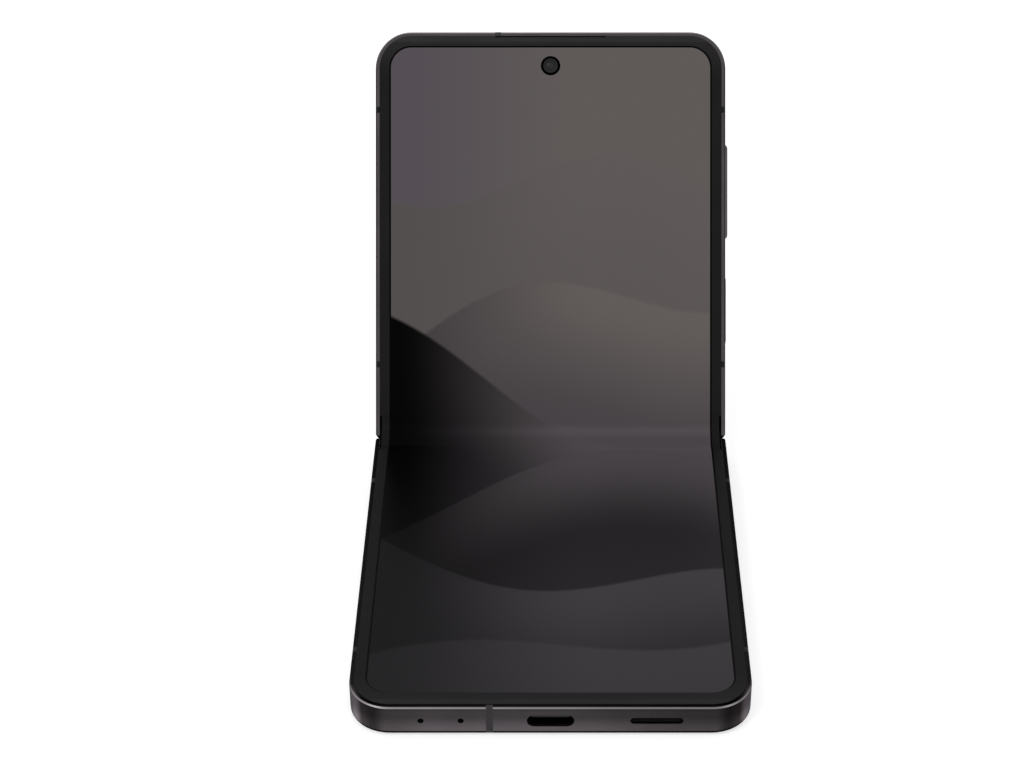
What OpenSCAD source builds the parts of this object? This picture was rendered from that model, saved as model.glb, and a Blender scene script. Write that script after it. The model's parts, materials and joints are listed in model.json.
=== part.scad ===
/* [Body] */
// Width across the two side walls
body_w = 72; // [68:0.5:80]
// Length of each half, from the fold line to its far end
half_len = 84; // [80:0.5:92]
// Thickness of each half, from the frame rim to the back
body_t = 6.5; // [6.3:0.1:8]
// Radius of the far corners
corner_r = 7.5; // [5:0.5:10]
// Thickness of the side wall
wall_t = 1.7; // [1.5:0.1:2.4]
// Thickness of the side wall beside the hinge
hinge_wall_t = 0.8; // [0.6:0.05:1]
// Length of the slanting ends of the side walls at the hinge
end_bevel_l = 1; // [0.5:0.1:1.5]
// Thickness that the slant leaves of the side walls' ends
end_land = 0.1; // [0.05:0.05:0.3]
// Chamfer along the front edge of the frame
edge_chamfer = 0.3; // [0.1:0.05:0.5]
// Rounding along the back edge of the frame
edge_round = 1.2; // [0.6:0.1:1.6]
// Thickness of the back covers
back_t = 0.5; // [0.4:0.05:0.7]
// Width of the frame's rim around the back covers
back_rim = 1.35; // [1.3:0.05:2]
// Width of the ledge that a back cover is glued to
back_ledge = 1; // [0.6:0.1:1.4]
// Thickness of the mid-plates
mid_t = 0.6; // [0.5:0.05:0.9]

/* [Screen] */
// Width of the frame's rim outside the bezel
rim_w = 0.83; // [0.5:0.01:1.2]
// Width of the bezel
bezel_w = 2.17; // [1.6:0.01:2.6]
// How far the bezel stands above the frame's rim
bezel_proud = 0.2; // [0.1:0.05:0.25]
// Depth of the display's face below the frame's rim
screen_drop = 0.05; // [0.02:0.01:0.1]
// Thickness of the folding display
screen_t = 0.55; // [0.4:0.05:0.6]
// How far the display runs in beneath the bezel
screen_tuck = 0.5; // [0.2:0.1:1]
// Half length of the soft stretch of display at the fold
fold_stretch = 3.2; // [2.9:0.1:3.6]
// Diameter of the front camera's window
eye_d = 4; // [3:0.1:5]
// Distance of the front camera from the upper end
eye_from_end = 6.9; // [6:0.1:9]

/* [Pose] */
// Angle by which the phone is folded where it stands
rest_fold = 57; // [40:1:70]

/* [Hinge] */
// Distance of each fold axis from the fold line
axis_u = 1.85; // [1.8:0.01:1.9]
// Depth of the fold axes below the frame's rim
axis_drop = 1.5; // [1.48:0.01:1.52]
// Gap between each half's hinge end and the fold line
end_gap = 0.1; // [0.05:0.01:0.15]
// Radius of the spine cover's shoulders about the fold axes
cover_r = 4.25; // [4.2:0.01:4.3]
// Wall of the spine cover
cover_wall = 0.45; // [0.4:0.01:0.5]
// Depth of the spine cover's flat below the frame's rim
cover_drop = 5.5; // [5.45:0.01:5.55]
// Width of each arc tongue
tongue_w = 2.2; // [1.8:0.1:2.4]
// Inner radius of the arc tongues
tongue_r0 = 2.2; // [2.15:0.01:2.25]
// Outer radius of the arc tongues
tongue_r1 = 3.2; // [3.1:0.01:3.2]
// Radial play of the arc tongues in their grooves
tongue_play = 0.05; // [0.03:0.01:0.06]
// Distance of each hinge base's middle from the centre line
base_x = 25; // [22:0.5:26]
// Face width of the sync gears
gear_w = 2.4; // [1.6:0.1:3]
// Teeth on each sync gear
gear_teeth = 10; // [10:1:10]
// Radius of the sync gears' pins
gear_pin_r = 0.2; // [0.15:0.01:0.22]
// Radial play of the sync gears on their pins
gear_play = 0.03; // [0.02:0.01:0.04]

/* [Wing plates] */
// Thickness of the wing plates
wing_t = 0.4; // [0.3:0.05:0.4]
// Distance of the wing plates' hinge ends from the fold line
wing_y0 = 0.8; // [0.8:0.05:1.2]
// Distance of the wing plates' pivots from the fold line
wing_pivot_y = 13.2; // [12.8:0.1:13.5]
// Wing plate tilt in degrees for each degree that its half folds
wing_ratio = 0.0444; // [0.03:0.0001:0.045]

/* [Keys and tray] */
// Distance of the volume key's middle from midway between the power key and the outer break
volume_shift = 0.55; // [-2:0.05:2]
// Length of the volume key
volume_len = 19.5; // [16:0.1:20]
// How far the volume key stands out
volume_proud = 0.6; // [0.3:0.05:0.8]
// Distance of the power key's middle from the fold line
power_y = 26.7; // [25:0.1:29]
// Length of the power key
power_len = 13.7; // [10:0.1:15]
// How far the power key stands out
power_proud = 0.25; // [0.1:0.05:0.4]
// Height of the keys
key_h = 2.4; // [2:0.1:2.6]
// Play around the keys
key_play = 0.08; // [0.06:0.01:0.1]
// Travel of the keys
key_travel = 0.25; // [0.2:0.01:0.3]
// Distance of the card tray's middle from the fold line
tray_y = 52; // [50:0.5:56]
// Width of the card tray
tray_w = 10.6; // [10:0.1:11]
// Length of the card tray
tray_len = 14; // [13:0.5:15]

/* [Ports] */
// Height of the openings' middle above the middle of the end wall
port_lift = 0.2; // [0:0.05:0.25]
// Width of the charging port's opening
port_w = 8.4; // [8.3:0.01:8.5]
// Height of the charging port's opening
port_h = 2.6; // [2.5:0.01:2.7]
// Wall of the charging port's shell
port_wall = 0.3; // [0.25:0.01:0.35]
// Distance of the loudspeaker slot's middle from the side
slot_from_side = 17.2; // [16:0.1:19]
// Length of the loudspeaker slot
slot_w = 9.4; // [7:0.1:10]
// Height of the loudspeaker slot
slot_h = 1.4; // [1:0.05:1.5]
// Radius of the microphone holes
mic_r = 0.55; // [0.4:0.05:0.6]
// Distance of the outer microphone hole from the side
mic_from_side = 13; // [11:0.1:15]
// Distance between the two microphone holes
mic_pitch = 7.1; // [6:0.1:8]
// Length of the earpiece slit
ear_w = 22.7; // [18:0.1:26]
// Width of the earpiece slit
ear_h = 0.45; // [0.3:0.05:0.5]

/* [Antenna breaks] */
// Width of each antenna break
band_w = 1.24; // [0.8:0.02:1.6]
// Distance of the outer side breaks from the far end
band_from_end = 16; // [14:0.5:18]
// Distance of the inner side breaks from the fold line
band_near_y = 15.6; // [15:0.1:16]
// Distance of the end breaks from the centre line
band_x = 10.8; // [8:0.1:12]

/* [Inside] */
// Thickness of the batteries
battery_t = 3.4; // [2.5:0.1:3.6]
// Length of the lower battery
battery_lower_len = 38; // [30:1:40]
// Length of the upper battery
battery_upper_len = 23; // [18:1:24]
// Room between the batteries and the side walls
battery_side_gap = 4.3; // [3.5:0.1:8]
// Thickness of the circuit boards
board_t = 0.8; // [0.6:0.05:1]
// Radius of the screw heads
screw_head_r = 0.9; // [0.7:0.05:1]
// Radius of the screw shanks
screw_r = 0.5; // [0.4:0.05:0.55]
// Thickness of the wireless charging coil
coil_t = 0.4; // [0.3:0.05:0.5]
// Radius of the vibration motor
motor_r = 4; // [3:0.1:4]
// Length of the alignment magnets
magnet_len = 4.5; // [3:0.1:5]

/* [Rear cameras] */
// Distance of the rear cameras from the side
camera_from_side = 12; // [11:0.5:14]
// Distance of the outer rear camera from the far end
camera_from_end = 12; // [10:0.5:14]
// Spacing of the two rear cameras
camera_pitch = 15; // [13:0.5:16]
// Outer radius of the lens rings
lens_r = 5.4; // [4.5:0.1:6]
// How far the lens rings stand out of the back
lens_proud = 1.1; // [0.6:0.1:1.5]
// Radius of the flash's window
flash_r = 1.5; // [1.2:0.1:2]

/* [Hidden] */
$fn = 64;

fold_half = rest_fold / 2;
// How far a cut runs past what it cuts, and a length beyond any section
over = 1;
far = 20;
cut = 0.01;
// Glue lines and the fit of pieces that touch
fit_gap = 0.05;
mesh_fit = 0.02;
least_r = 0.6;
half_w = body_w / 2;
mid_z = -body_t / 2;
back_z = -body_t;
back_in_z = back_z + back_t;
inner_x = half_w - wall_t;
band_far_y = half_len - band_from_end;
inner_end = half_len - wall_t;
hinge_x = half_w - hinge_wall_t;
end_bevel_w = hinge_wall_t - end_land;
bezel_in = rim_w + bezel_w;
screen_x = half_w - bezel_in;
screen_z = -screen_drop;
screen_back_z = screen_z - screen_t;
shelf_in = bezel_in - screen_tuck;
plate_z = screen_back_z - fit_gap;
plate_back_z = plate_z - mid_t;
back_lip_y = end_gap + 1;
ledge_t = 0.6;
// The part of a half that its spine cavity takes
cavity_len = 7;
bezel_start = axis_u + fit_gap;
notch_len = 5;
notch_w = 0.75;
shoulder_r = axis_u - end_gap;
// Hinge arms and the beam that they are screwed to
arm_z = -2.35;
arm_t = 0.5;
arm_w = 6;
arm_y0 = 4.1;
arm_y1 = 12.4;
sync_plate_y0 = 2.9;
arm_screw_y = 10.2;
arm_screw_pitch = 3.6;
beam_z = arm_z - arm_t;
beam_t = 1.25;
beam_y1 = 14;
rear_wall_t = 0.8;
root_angle = -18;
tip_angle = -165;
stagger = 1.6;
// Hinge bases
base_r0 = 1.65;
base_r1 = cover_r - cover_wall - 0.1;
base_a0 = -125;
base_a1 = -38;
groove_over_angle = 30;
base_cheek = 0.6;
base_slab_w = 10;
base_slab_len = 4;
base_slab_t = 0.25;
side_play = 0.08;
floor_z = -cover_drop + cover_wall;
cover_end_angle = -25;
cover_top_z = -axis_drop + cover_r * sin(cover_end_angle);
spine_x = hinge_x - 0.3;
cap_t = 0.6;
cap_r = 0.85;
cap_top_z = -1.65;
// Sync gears: four equal gears between the two fold axes
gear_r = axis_u / 3;
gear_m = 2 * gear_r / gear_teeth;
sector_teeth = 34;
sector_r = sector_teeth * gear_m / 2;
sector_a0 = -191;
sector_a1 = -42;
sector_first = -9;
sector_last = 1;
gear_ratio = sector_r / gear_r;
gear_z = -axis_drop - sector_r - gear_r;
tooth_top = 0.72 * gear_m;
tooth_root = 1.05 * gear_m;
tooth_foot_half = 0.72 * gear_m;
tooth_mid_half = 0.6 * gear_m;
tooth_tip_half = 0.25 * gear_m;
sector_in_r = 1.45;
block_wall = 0.6;
block_gap = 0.12;
block_x = gear_w / 2 + block_gap;
block_end = 0.7;
block_over_pins = 0.5;
gear_places = [-3, -1, 1, 3];
sector_gap = 0.05;
gear_step = 360 / gear_teeth;
gear_turn = gear_ratio * fold_half;
// Flex cables
flex_x = 13;
flex_w = 7;
flex_t = 0.15;
flex_y = 3;
flex_end = 13;
flex_seat_z = beam_z + flex_t;
// Wing plates
wing_gap = 0.4;
wing_end = beam_y1 - wing_gap;
plate_y0 = beam_y1 - 0.1;
wing_x = inner_x - wing_gap;
// Batteries and coil
bay_y0 = beam_y1 + rear_wall_t;
battery_y0 = bay_y0 + 0.2;
battery_x = inner_x - battery_side_gap;
coil_r = battery_lower_len / 2 - 1;
coil_hole_r = coil_r / 2;
// Charging port
shell_len = 7;
port_lip = 0.8;
port_z = mid_z + port_lift;
shell_y0 = half_len - port_lip - shell_len;
shell_rear_t = 0.6;
port_tongue_x = port_w / 2 - 0.85;
port_tongue_t = 0.7;
port_tongue_in = 0.6;
// Screws
screw_head_h = 0.35;
screw_play = 0.05;
screw_floor = 0.2;
board_edge = 2.5;
// Sub board, loudspeaker, microphones, motor and magnets, all placed from the far end
sub_board_x0 = -17;
sub_board_x1 = 9;
sub_board_len = 13.8;
sub_board_gap = 0.8;
sub_board_y1 = shell_y0 - sub_board_gap;
sub_board_y0 = sub_board_y1 - sub_board_len;
slot_x = half_w - slot_from_side;
speaker_gap = 2;
speaker_x0 = sub_board_x1 + speaker_gap;
mic_x_a = half_w - mic_from_side;
mic_x_b = mic_x_a - mic_pitch;
speaker_floor = 1.2;
mic_box_w = 3;
mic_box_len = 2.2;
mic_box_drop = 1;
motor_t = 3;
motor_from_side = 11.5;
motor_from_end = 18;
motor_x = -half_w + motor_from_side;
motor_y = half_len - motor_from_end;
magnet_w = 2;
magnet_t = 1.4;
magnet_gap = 0.4;
magnet_from_end = 17.5;
magnet_x = inner_x - magnet_gap;
magnet_y0 = half_len - magnet_from_end;
mesh_in = 0.5;
mesh_t = 0.3;
mesh_margin = 0.5;
mesh_hole_r = 0.16;
mesh_pitch = 0.52;
// Keys, switches and card tray
volume_y = (power_y + power_len / 2 + band_far_y) / 2 + volume_shift;
key_z = mid_z;
key_flange = 0.45;
key_back_x = inner_x - fit_gap - key_flange;
flange_over = 0.5;
switch_gap = 0.05;
switch_x = key_back_x - key_travel - switch_gap;
switch_tip = 0.5;
switch_tip_w = 2.8;
switch_tip_h = 2;
switch_t = 0.8;
switch_w = 4.4;
socket_wall = 0.25;
socket_play = 0.15;
socket_end = 0.4;
socket_x1 = -inner_x + tray_len + socket_end + socket_wall;
tray_t = 0.8;
tray_rim = 0.8;
tray_floor = 0.15;
tray_z = -3.2;
tray_face_h = 1.6;
tray_face_over = 1;
// Front camera and earpiece
eye_y = half_len - eye_from_end;
eye_play = 0.05;
eye_wall = 0.6;
eye_depth = 4.2;
ear_y = half_len - rim_w - ear_h;
ear_x0 = 3.4;
ear_x1 = 12;
ear_box_len = 4.5;
ear_box_t = 2;
ear_depth = 1.4;
ear_duct_h = 0.5;
ear_duct_wall = 1;
ear_mesh_z = -0.5;
ear_mesh_t = 0.2;
ear_hole_r = 0.14;
ear_hole_pitch = 0.54;
// Rear cameras and flash
camera_x = half_w - camera_from_side;
camera_y = half_len - camera_from_end;
lens_ring_w = 0.8;
lens_in_r = lens_r - lens_ring_w;
lens_seat = 0.6;
ring_ledge = 0.4;
ring_tuck = 0.2;
glass_in = 0.2;
camera_box = 9;
camera_room = 0.3;
barrel_gap = 0.5;
barrel_proud = 0.1;
flash_gap = 3.2;
flash_tuck = 0.5;
flash_room = 0.4;
cover_screen_t = 0.4;
cover_screen_in = back_rim + back_ledge + 0.3;
cover_screen_y0 = cavity_len + rear_wall_t + 1;
// Main board, with a narrow arm past the rear cameras
main_board_side = 3.3;
main_board_x0 = -inner_x + main_board_side;
main_board_x1 = camera_x - camera_box / 2 - board_edge;
main_board_gap = 3;
main_board_from_end = 10;
main_board_y0 = battery_y0 + battery_upper_len + main_board_gap;
main_board_y1 = half_len - main_board_from_end;
board_arm_x1 = inner_x - main_board_side;
board_arm_gap = 2;
board_arm_y1 = camera_y - camera_pitch - camera_box / 2 - board_arm_gap;
board_screw_in = 3;
board_screw_x0 = -6;
board_screw_x1 = main_board_x1 - board_screw_in;
board_screw_y0 = main_board_y0 + board_screw_in;
board_screw_y1 = main_board_y1 - board_screw_in;
shield_gap = 2;
shield_y0 = board_screw_y0 + board_screw_in;
shield_low_t = 1.3;
shield_high_t = 1.6;
lower_screw_spots = [
    for (x = [sub_board_x0 + board_edge, sub_board_x1 - board_edge])
        for (y = [sub_board_y0 + board_edge, sub_board_y1 - board_edge]) [x, y]
];
upper_screw_spots = [
    [board_screw_x0, board_screw_y0], [board_screw_x1, board_screw_y0],
    [board_screw_x0, board_screw_y1], [main_board_x0 + board_screw_in, board_screw_y1]
];

// A flat drawing in the plane of length and height, drawn out from x0 to x1
module across(x0, x1) {
    translate([x0, 0, 0]) rotate([90, 0, 90]) linear_extrude(x1 - x0) children();
}

module block(x0, x1, y0, y1, z0, z1) {
    translate([x0, y0, z0]) cube([x1 - x0, y1 - y0, z1 - z0]);
}

// Where the halves and the spine lie when the phone stands open at its rest angle
module turned(y, angle) {
    translate([0, y, -axis_drop]) rotate([angle, 0, 0]) translate([0, -y, axis_drop]) children();
}

module on_lower() {
    translate([0, half_len / 2, body_t]) mirror([0, 1, 0]) children();
}

module on_spine() {
    translate([0, half_len / 2, body_t]) turned(-axis_u, fold_half) children();
}

module on_upper() {
    on_spine() turned(axis_u, fold_half) children();
}

module both_sides() {
    children();
    mirror([1, 0, 0]) children();
}

// Outline of a half drawn in by a margin, from y0 to its far end
module outline(margin, y0) {
    w = half_w - margin;
    l = half_len - margin;
    r = max(corner_r - margin, least_r);
    translate([-w, y0]) square([2 * w, l - r - y0]);
    translate([-w + r, y0]) square([2 * (w - r), l - y0]);
    for (side = [-1, 1]) translate([side * (w - r), l - r]) circle(r);
}

module sheet(margin, y0, z0, z1) {
    translate([0, 0, z0]) linear_extrude(z1 - z0) outline(margin, y0);
}

// Section of the side wall, measured out from the middle of a far corner
module wall_section(t) {
    x0 = corner_r - t;
    difference() {
        union() {
            translate([x0, back_z + edge_round]) square([t, body_t - edge_round]);
            translate([x0, back_z]) square([t - edge_round, edge_round + cut]);
            translate([corner_r - edge_round, back_z + edge_round]) intersection() {
                circle(edge_round);
                translate([-cut, -edge_round]) square([edge_round + cut, edge_round + cut]);
            }
        }
        translate([corner_r - edge_chamfer, 0])
            polygon([[0, cut], [0, 0], [edge_chamfer, -edge_chamfer], [over, -edge_chamfer], [over, cut]]);
    }
}

module wall_ring(t, y0) {
    r = corner_r;
    straight = half_len - r - y0;
    for (side = [0, 1]) mirror([side, 0, 0]) {
        translate([half_w - r, y0 + straight, 0]) rotate([90, 0, 0]) linear_extrude(straight) wall_section(t);
        translate([half_w - r, half_len - r, 0]) rotate_extrude(angle = 90) wall_section(t);
    }
    translate([-half_w + r, half_len - r, 0]) rotate([90, 0, 90]) linear_extrude(2 * (half_w - r))
        wall_section(t);
}

// Places of the antenna breaks in a half
module break_boxes(t) {
    both_sides() for (y = [band_near_y, band_far_y])
        block(half_w - t, half_w + over, y - band_w / 2, y + band_w / 2, back_z - over, over);
    block(-band_x - band_w / 2, -band_x + band_w / 2, half_len - t, half_len + over, back_z - over, over);
}

// Rounded top of a half's hinge end, about its fold axis
module hinge_corner() {
    across(-half_w - over, half_w + over) difference() {
        translate([-far, -axis_drop]) square([axis_u + far, axis_drop + over]);
        translate([axis_u, -axis_drop]) circle(shoulder_r);
    }
}

// Slanting ends of the side walls at the hinge, which leave a notch between the halves
module end_bevels() {
    both_sides() translate([half_w, end_gap, back_z - over]) linear_extrude(body_t + 2 * over)
        polygon([[-end_bevel_w, -over], [-end_bevel_w, 0], [0, end_bevel_l],
            [over, end_bevel_l], [over, -over]]);
}

// Room for the bezel at the front and for the cover at the back
module cover_seats() {
    sheet(rim_w, -over, screen_z, over);
    sheet(back_rim, back_lip_y, back_z - over, back_in_z);
}

module frame_shell(shift) {
    difference() {
        union() {
            difference() {
                wall_ring(wall_t, end_gap);
                break_boxes(wall_t + cut);
                block(-hinge_x, hinge_x, -over, cavity_len, back_in_z, over);
                hinge_corner();
                end_bevels();
            }
            // mid-plate with the shelf round the display
            difference() {
                sheet(wall_t, plate_y0, plate_back_z, screen_z);
                sheet(shelf_in - fit_gap, plate_y0 - over, plate_z, over);
            }
            // ledge that the back cover is glued to
            difference() {
                sheet(wall_t, cavity_len, back_in_z, back_in_z + ledge_t);
                sheet(back_rim + back_ledge, cavity_len + rear_wall_t, back_in_z - over, back_in_z + over);
            }
            block(-inner_x - cut, inner_x + cut, end_gap, back_lip_y, back_z, back_in_z);
            // beam under the hinge arms, between the walls that close the spine cavity
            block(-inner_x, inner_x, cavity_len, beam_y1, beam_z - beam_t, beam_z);
            block(-inner_x, inner_x, cavity_len, cavity_len + rear_wall_t, back_in_z, beam_z);
            block(-inner_x, inner_x, plate_y0, bay_y0, beam_z - beam_t, plate_back_z + cut);
        }
        cover_seats();
        for (x = arm_screw_xs(shift)) translate([x, arm_screw_y, beam_z - beam_t + screw_floor])
            cylinder(r = screw_r + screw_play, h = beam_t);
    }
}

function arm_screw_xs(shift) = [
    for (side = [-1, 1]) for (step = [-0.5, 0.5]) side * base_x + shift + step * arm_screw_pitch,
    -arm_screw_pitch / 2, arm_screw_pitch / 2
];

module arm_plate(x, y0, shift) {
    difference() {
        block(x - arm_w / 2, x + arm_w / 2, y0, arm_y1, beam_z, arm_z);
        for (hole = arm_screw_xs(shift)) translate([hole, arm_screw_y, beam_z - over])
            cylinder(r = screw_r + screw_play, h = arm_t + 2 * over);
    }
}

module plate_screw_holes(spots) {
    for (p = spots) translate([p[0], p[1], plate_back_z - board_t - over])
        cylinder(r = screw_r + screw_play, h = over + board_t + mid_t - screw_floor);
}

module stadium(w, h) {
    translate([-(w - h) / 2, -h / 2]) square([w - h, h]);
    for (side = [-1, 1]) translate([side * (w - h) / 2, 0]) circle(h / 2);
}

// A stadium-shaped bar along the phone, from y0 to y1
module slot_bar(x, z, w, h, y0, y1) {
    translate([x, y1, z]) rotate([90, 0, 0]) linear_extrude(y1 - y0) stadium(w, h);
}

module lower_frame() {
    color("dimgray") on_lower() difference() {
        frame_shell(-stagger);
        slot_bar(0, port_z, port_w, port_h, inner_end - over, half_len + over);
        slot_bar(0, port_z, port_w + 2 * (port_wall + mesh_fit), port_h + 2 * (port_wall + mesh_fit),
            inner_end - over, half_len - port_lip);
        slot_bar(slot_x, port_z, slot_w, slot_h, inner_end - over, half_len + over);
        for (x = [-mic_x_a, -mic_x_b]) translate([x, inner_end - over, port_z]) rotate([-90, 0, 0])
            cylinder(r = mic_r, h = wall_t + 2 * over);
        plate_screw_holes(lower_screw_spots);
    }
}

module key_hole(y, len) {
    translate([inner_x - over, y, key_z]) rotate([90, 0, 90]) linear_extrude(wall_t + 2 * over)
        stadium(len + 2 * key_play, key_h + 2 * key_play);
}

module ear_slit() {
    block(-ear_w / 2, ear_w / 2, ear_y, ear_y + ear_h, -ear_depth, over);
}

module upper_frame() {
    color("dimgray") on_upper() difference() {
        frame_shell(stagger);
        key_hole(volume_y, volume_len);
        key_hole(power_y, power_len);
        translate([-inner_x + over, tray_y, tray_z]) rotate([90, 0, -90]) linear_extrude(wall_t + 2 * over)
            stadium(tray_w + 2 * (tray_face_over + key_play), tray_face_h + 2 * key_play);
        translate([0, eye_y, plate_back_z - over])
            cylinder(r = eye_d / 2 + eye_wall + eye_play, h = mid_t + 2 * over);
        ear_slit();
        block(ear_x0 + ear_duct_wall, ear_x1 - ear_duct_wall, inner_end - over, ear_y + ear_h,
            -ear_depth, -ear_depth + ear_duct_h);
        plate_screw_holes(upper_screw_spots);
    }
}

module antenna_breaks() {
    difference() {
        intersection() {
            wall_ring(wall_t, end_gap);
            break_boxes(wall_t);
        }
        cover_seats();
    }
}

module lower_antenna_breaks() {
    color("darkslategray") on_lower() antenna_breaks();
}

module upper_antenna_breaks() {
    color("darkslategray") on_upper() difference() {
        antenna_breaks();
        ear_slit();
    }
}

module back_sheet() {
    sheet(back_rim + fit_gap, back_lip_y + fit_gap, back_z, back_in_z);
}

module lower_back_cover() {
    color("darkslategray") on_lower() back_sheet();
}

module camera_spots() {
    for (i = [0, 1]) translate([camera_x, camera_y - i * camera_pitch, 0]) children();
}

module flash_spot() {
    translate([camera_x - lens_r - flash_gap, camera_y, 0]) children();
}

module upper_back_cover() {
    color("darkslategray") on_upper() difference() {
        back_sheet();
        camera_spots() translate([0, 0, back_z - over])
            cylinder(r = lens_in_r + fit_gap, h = back_t + 2 * over);
        flash_spot() translate([0, 0, back_z - over]) cylinder(r = flash_r + fit_gap, h = back_t + 2 * over);
    }
}

module cover_display() {
    color("black") on_upper() difference() {
        sheet(cover_screen_in, cover_screen_y0, back_in_z, back_in_z + cover_screen_t);
        camera_spots() block(-camera_box / 2 - camera_room, camera_box / 2 + camera_room,
            -camera_box / 2 - camera_room, camera_box / 2 + camera_room, back_z, mid_z);
        flash_spot() translate([0, 0, back_z]) cylinder(r = flash_r + flash_room, h = body_t / 2);
    }
}

module bezel_ring() {
    difference() {
        sheet(rim_w, bezel_start, screen_z, bezel_proud);
        sheet(bezel_in, bezel_start - over, screen_z - over, over);
        both_sides() block(half_w - rim_w - notch_w, half_w, bezel_start - over, notch_len,
            screen_z - over, over);
    }
}

module lower_bezel() {
    color("black") on_lower() bezel_ring();
}

module upper_bezel() {
    color("black") on_upper() difference() {
        bezel_ring();
        block(-ear_w / 2, ear_w / 2, ear_y, half_len, screen_z - over, over);
    }
}

module screen_sheet() {
    sheet(shelf_in, fold_stretch, screen_back_z, screen_z);
}

module lower_display() {
    color("slategray") on_lower() screen_sheet();
}

module upper_display() {
    color("slategray") on_upper() difference() {
        screen_sheet();
        translate([0, eye_y, screen_back_z - over]) cylinder(r = eye_d / 2, h = screen_t + 2 * over);
    }
}

// A wing plate tilts about its pivot and drops its hinge end as the phone folds
module wing_plate() {
    translate([0, wing_pivot_y, plate_z]) rotate([fold_half * wing_ratio, 0, 0])
        translate([0, -wing_pivot_y, -plate_z])
            block(-wing_x, wing_x, wing_y0, wing_end, plate_z - wing_t, plate_z);
}

module lower_wing_plate() {
    color("silver") on_lower() wing_plate();
}

module upper_wing_plate() {
    color("silver") on_upper() wing_plate();
}

module sector(r0, r1, a0, a1) {
    intersection() {
        difference() {
            circle(r1);
            circle(r0);
        }
        polygon(concat([[0, 0]], [for (i = [0:8]) let (a = a0 + (a1 - a0) * i / 8) 3 * r1 * [cos(a), sin(a)]]));
    }
}

// An arm of a half: its tongue slides round the fold axis in a groove of the hinge base
module hinge_arm(x, shift) {
    across(x - tongue_w / 2, x + tongue_w / 2) intersection() {
        translate([axis_u, -axis_drop]) sector(tongue_r0, tongue_r1, tip_angle, root_angle);
        translate([-far, arm_z - far]) square([2 * far, far]);
    }
    arm_plate(x, arm_y0, shift);
}

module upper_hinge_arms() {
    color("silver") on_upper() for (side = [-1, 1]) hinge_arm(side * base_x + stagger, stagger);
}

module lower_hinge_arms() {
    color("silver") on_lower() for (side = [-1, 1]) hinge_arm(side * base_x - stagger, -stagger);
}

// Straight-sided teeth on a pitch circle, from tooth number first to last
module teeth(pitch_r, count, phase, first, last) {
    pitch = 360 / count;
    root = pitch_r - tooth_root;
    for (i = [first:last]) rotate(phase + i * pitch)
        polygon([
            [root - fit_gap, -tooth_foot_half], [pitch_r, -tooth_mid_half],
            [pitch_r + tooth_top, -tooth_tip_half], [pitch_r + tooth_top, tooth_tip_half],
            [pitch_r, tooth_mid_half], [root - fit_gap, tooth_foot_half]
        ]);
}

// Sync arm: a toothed sector about the fold axis, with a gap or a tooth at its lowest point
module sync_arm(x0, x1, phase, shift) {
    across(x0, x1) translate([axis_u, -axis_drop]) {
        sector(sector_in_r, sector_r - tooth_root, sector_a0, sector_a1);
        teeth(sector_r, sector_teeth, -90 + phase, sector_first, sector_last);
    }
    arm_plate(0, sync_plate_y0, shift);
}

module upper_sync_arm() {
    color("silver") on_upper() sync_arm(-gear_w / 2, -sector_gap, 0, stagger);
}

module lower_sync_arm() {
    color("silver") on_lower() sync_arm(sector_gap, gear_w / 2, 180 / sector_teeth, -stagger);
}

module sync_gear(u, phase, turn) {
    across(-gear_w / 2 + sector_gap, gear_w / 2 - sector_gap) translate([u, gear_z]) rotate(turn) difference() {
        union() {
            circle(gear_r - tooth_root);
            teeth(gear_r, gear_teeth, phase, 0, gear_teeth - 1);
        }
        circle(gear_pin_r + gear_play);
    }
}

module upper_sync_gear() {
    color("goldenrod") on_spine() sync_gear(3 * gear_r, 90 + gear_step / 2, -gear_turn);
}

module upper_idler_gear() {
    color("goldenrod") on_spine() sync_gear(gear_r, gear_step / 2, gear_turn);
}

module lower_idler_gear() {
    color("goldenrod") on_spine() sync_gear(-gear_r, 0, -gear_turn);
}

module lower_sync_gear() {
    color("goldenrod") on_spine() sync_gear(-3 * gear_r, gear_step / 2, gear_turn);
}

module gear_block() {
    color("gray") on_spine() both_sides() difference() {
        block(block_x, block_x + block_wall, -axis_u - block_end, axis_u + block_end,
            floor_z, gear_z + block_over_pins);
        for (i = gear_places) translate([0, i * gear_r, gear_z]) rotate([0, 90, 0])
            cylinder(r = gear_pin_r, h = far);
    }
}

module gear_pins() {
    color("silver") on_spine() for (i = gear_places)
        translate([-block_x - block_wall, i * gear_r, gear_z]) rotate([0, 90, 0])
            cylinder(r = gear_pin_r, h = 2 * (block_x + block_wall));
}

// One grooved half of a hinge base about the right-hand fold axis
module groove_block(x) {
    groove_w = tongue_w / 2 + side_play;
    difference() {
        across(x - groove_w - base_cheek, x + groove_w + base_cheek) intersection() {
            translate([axis_u, -axis_drop]) sector(base_r0, base_r1, base_a0, base_a1);
            translate([-far, floor_z]) square([2 * far, far]);
        }
        across(x - groove_w, x + groove_w) translate([axis_u, -axis_drop])
            sector(tongue_r0 - tongue_play, tongue_r1 + tongue_play,
                base_a0 - groove_over_angle, base_a1 + groove_over_angle);
    }
}

module hinge_bases() {
    color("gray") on_spine() for (side = [-1, 1]) {
        groove_block(side * base_x + stagger);
        mirror([0, 1, 0]) groove_block(side * base_x - stagger);
        block(side * base_x - base_slab_w / 2, side * base_x + base_slab_w / 2,
            -base_slab_len / 2, base_slab_len / 2, floor_z, floor_z + base_slab_t);
    }
}

// Section of the spine cover: shoulders about the two fold axes and a flat between
module cover_round(r) {
    for (side = [-1, 1]) translate([side * axis_u, -axis_drop]) circle(r);
    translate([-axis_u, -axis_drop - r]) square([2 * axis_u, 2 * r]);
}

module cover_section() {
    intersection() {
        cover_round(cover_r);
        translate([-far, -cover_drop]) square([2 * far, cover_top_z + cover_drop]);
    }
}

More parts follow.
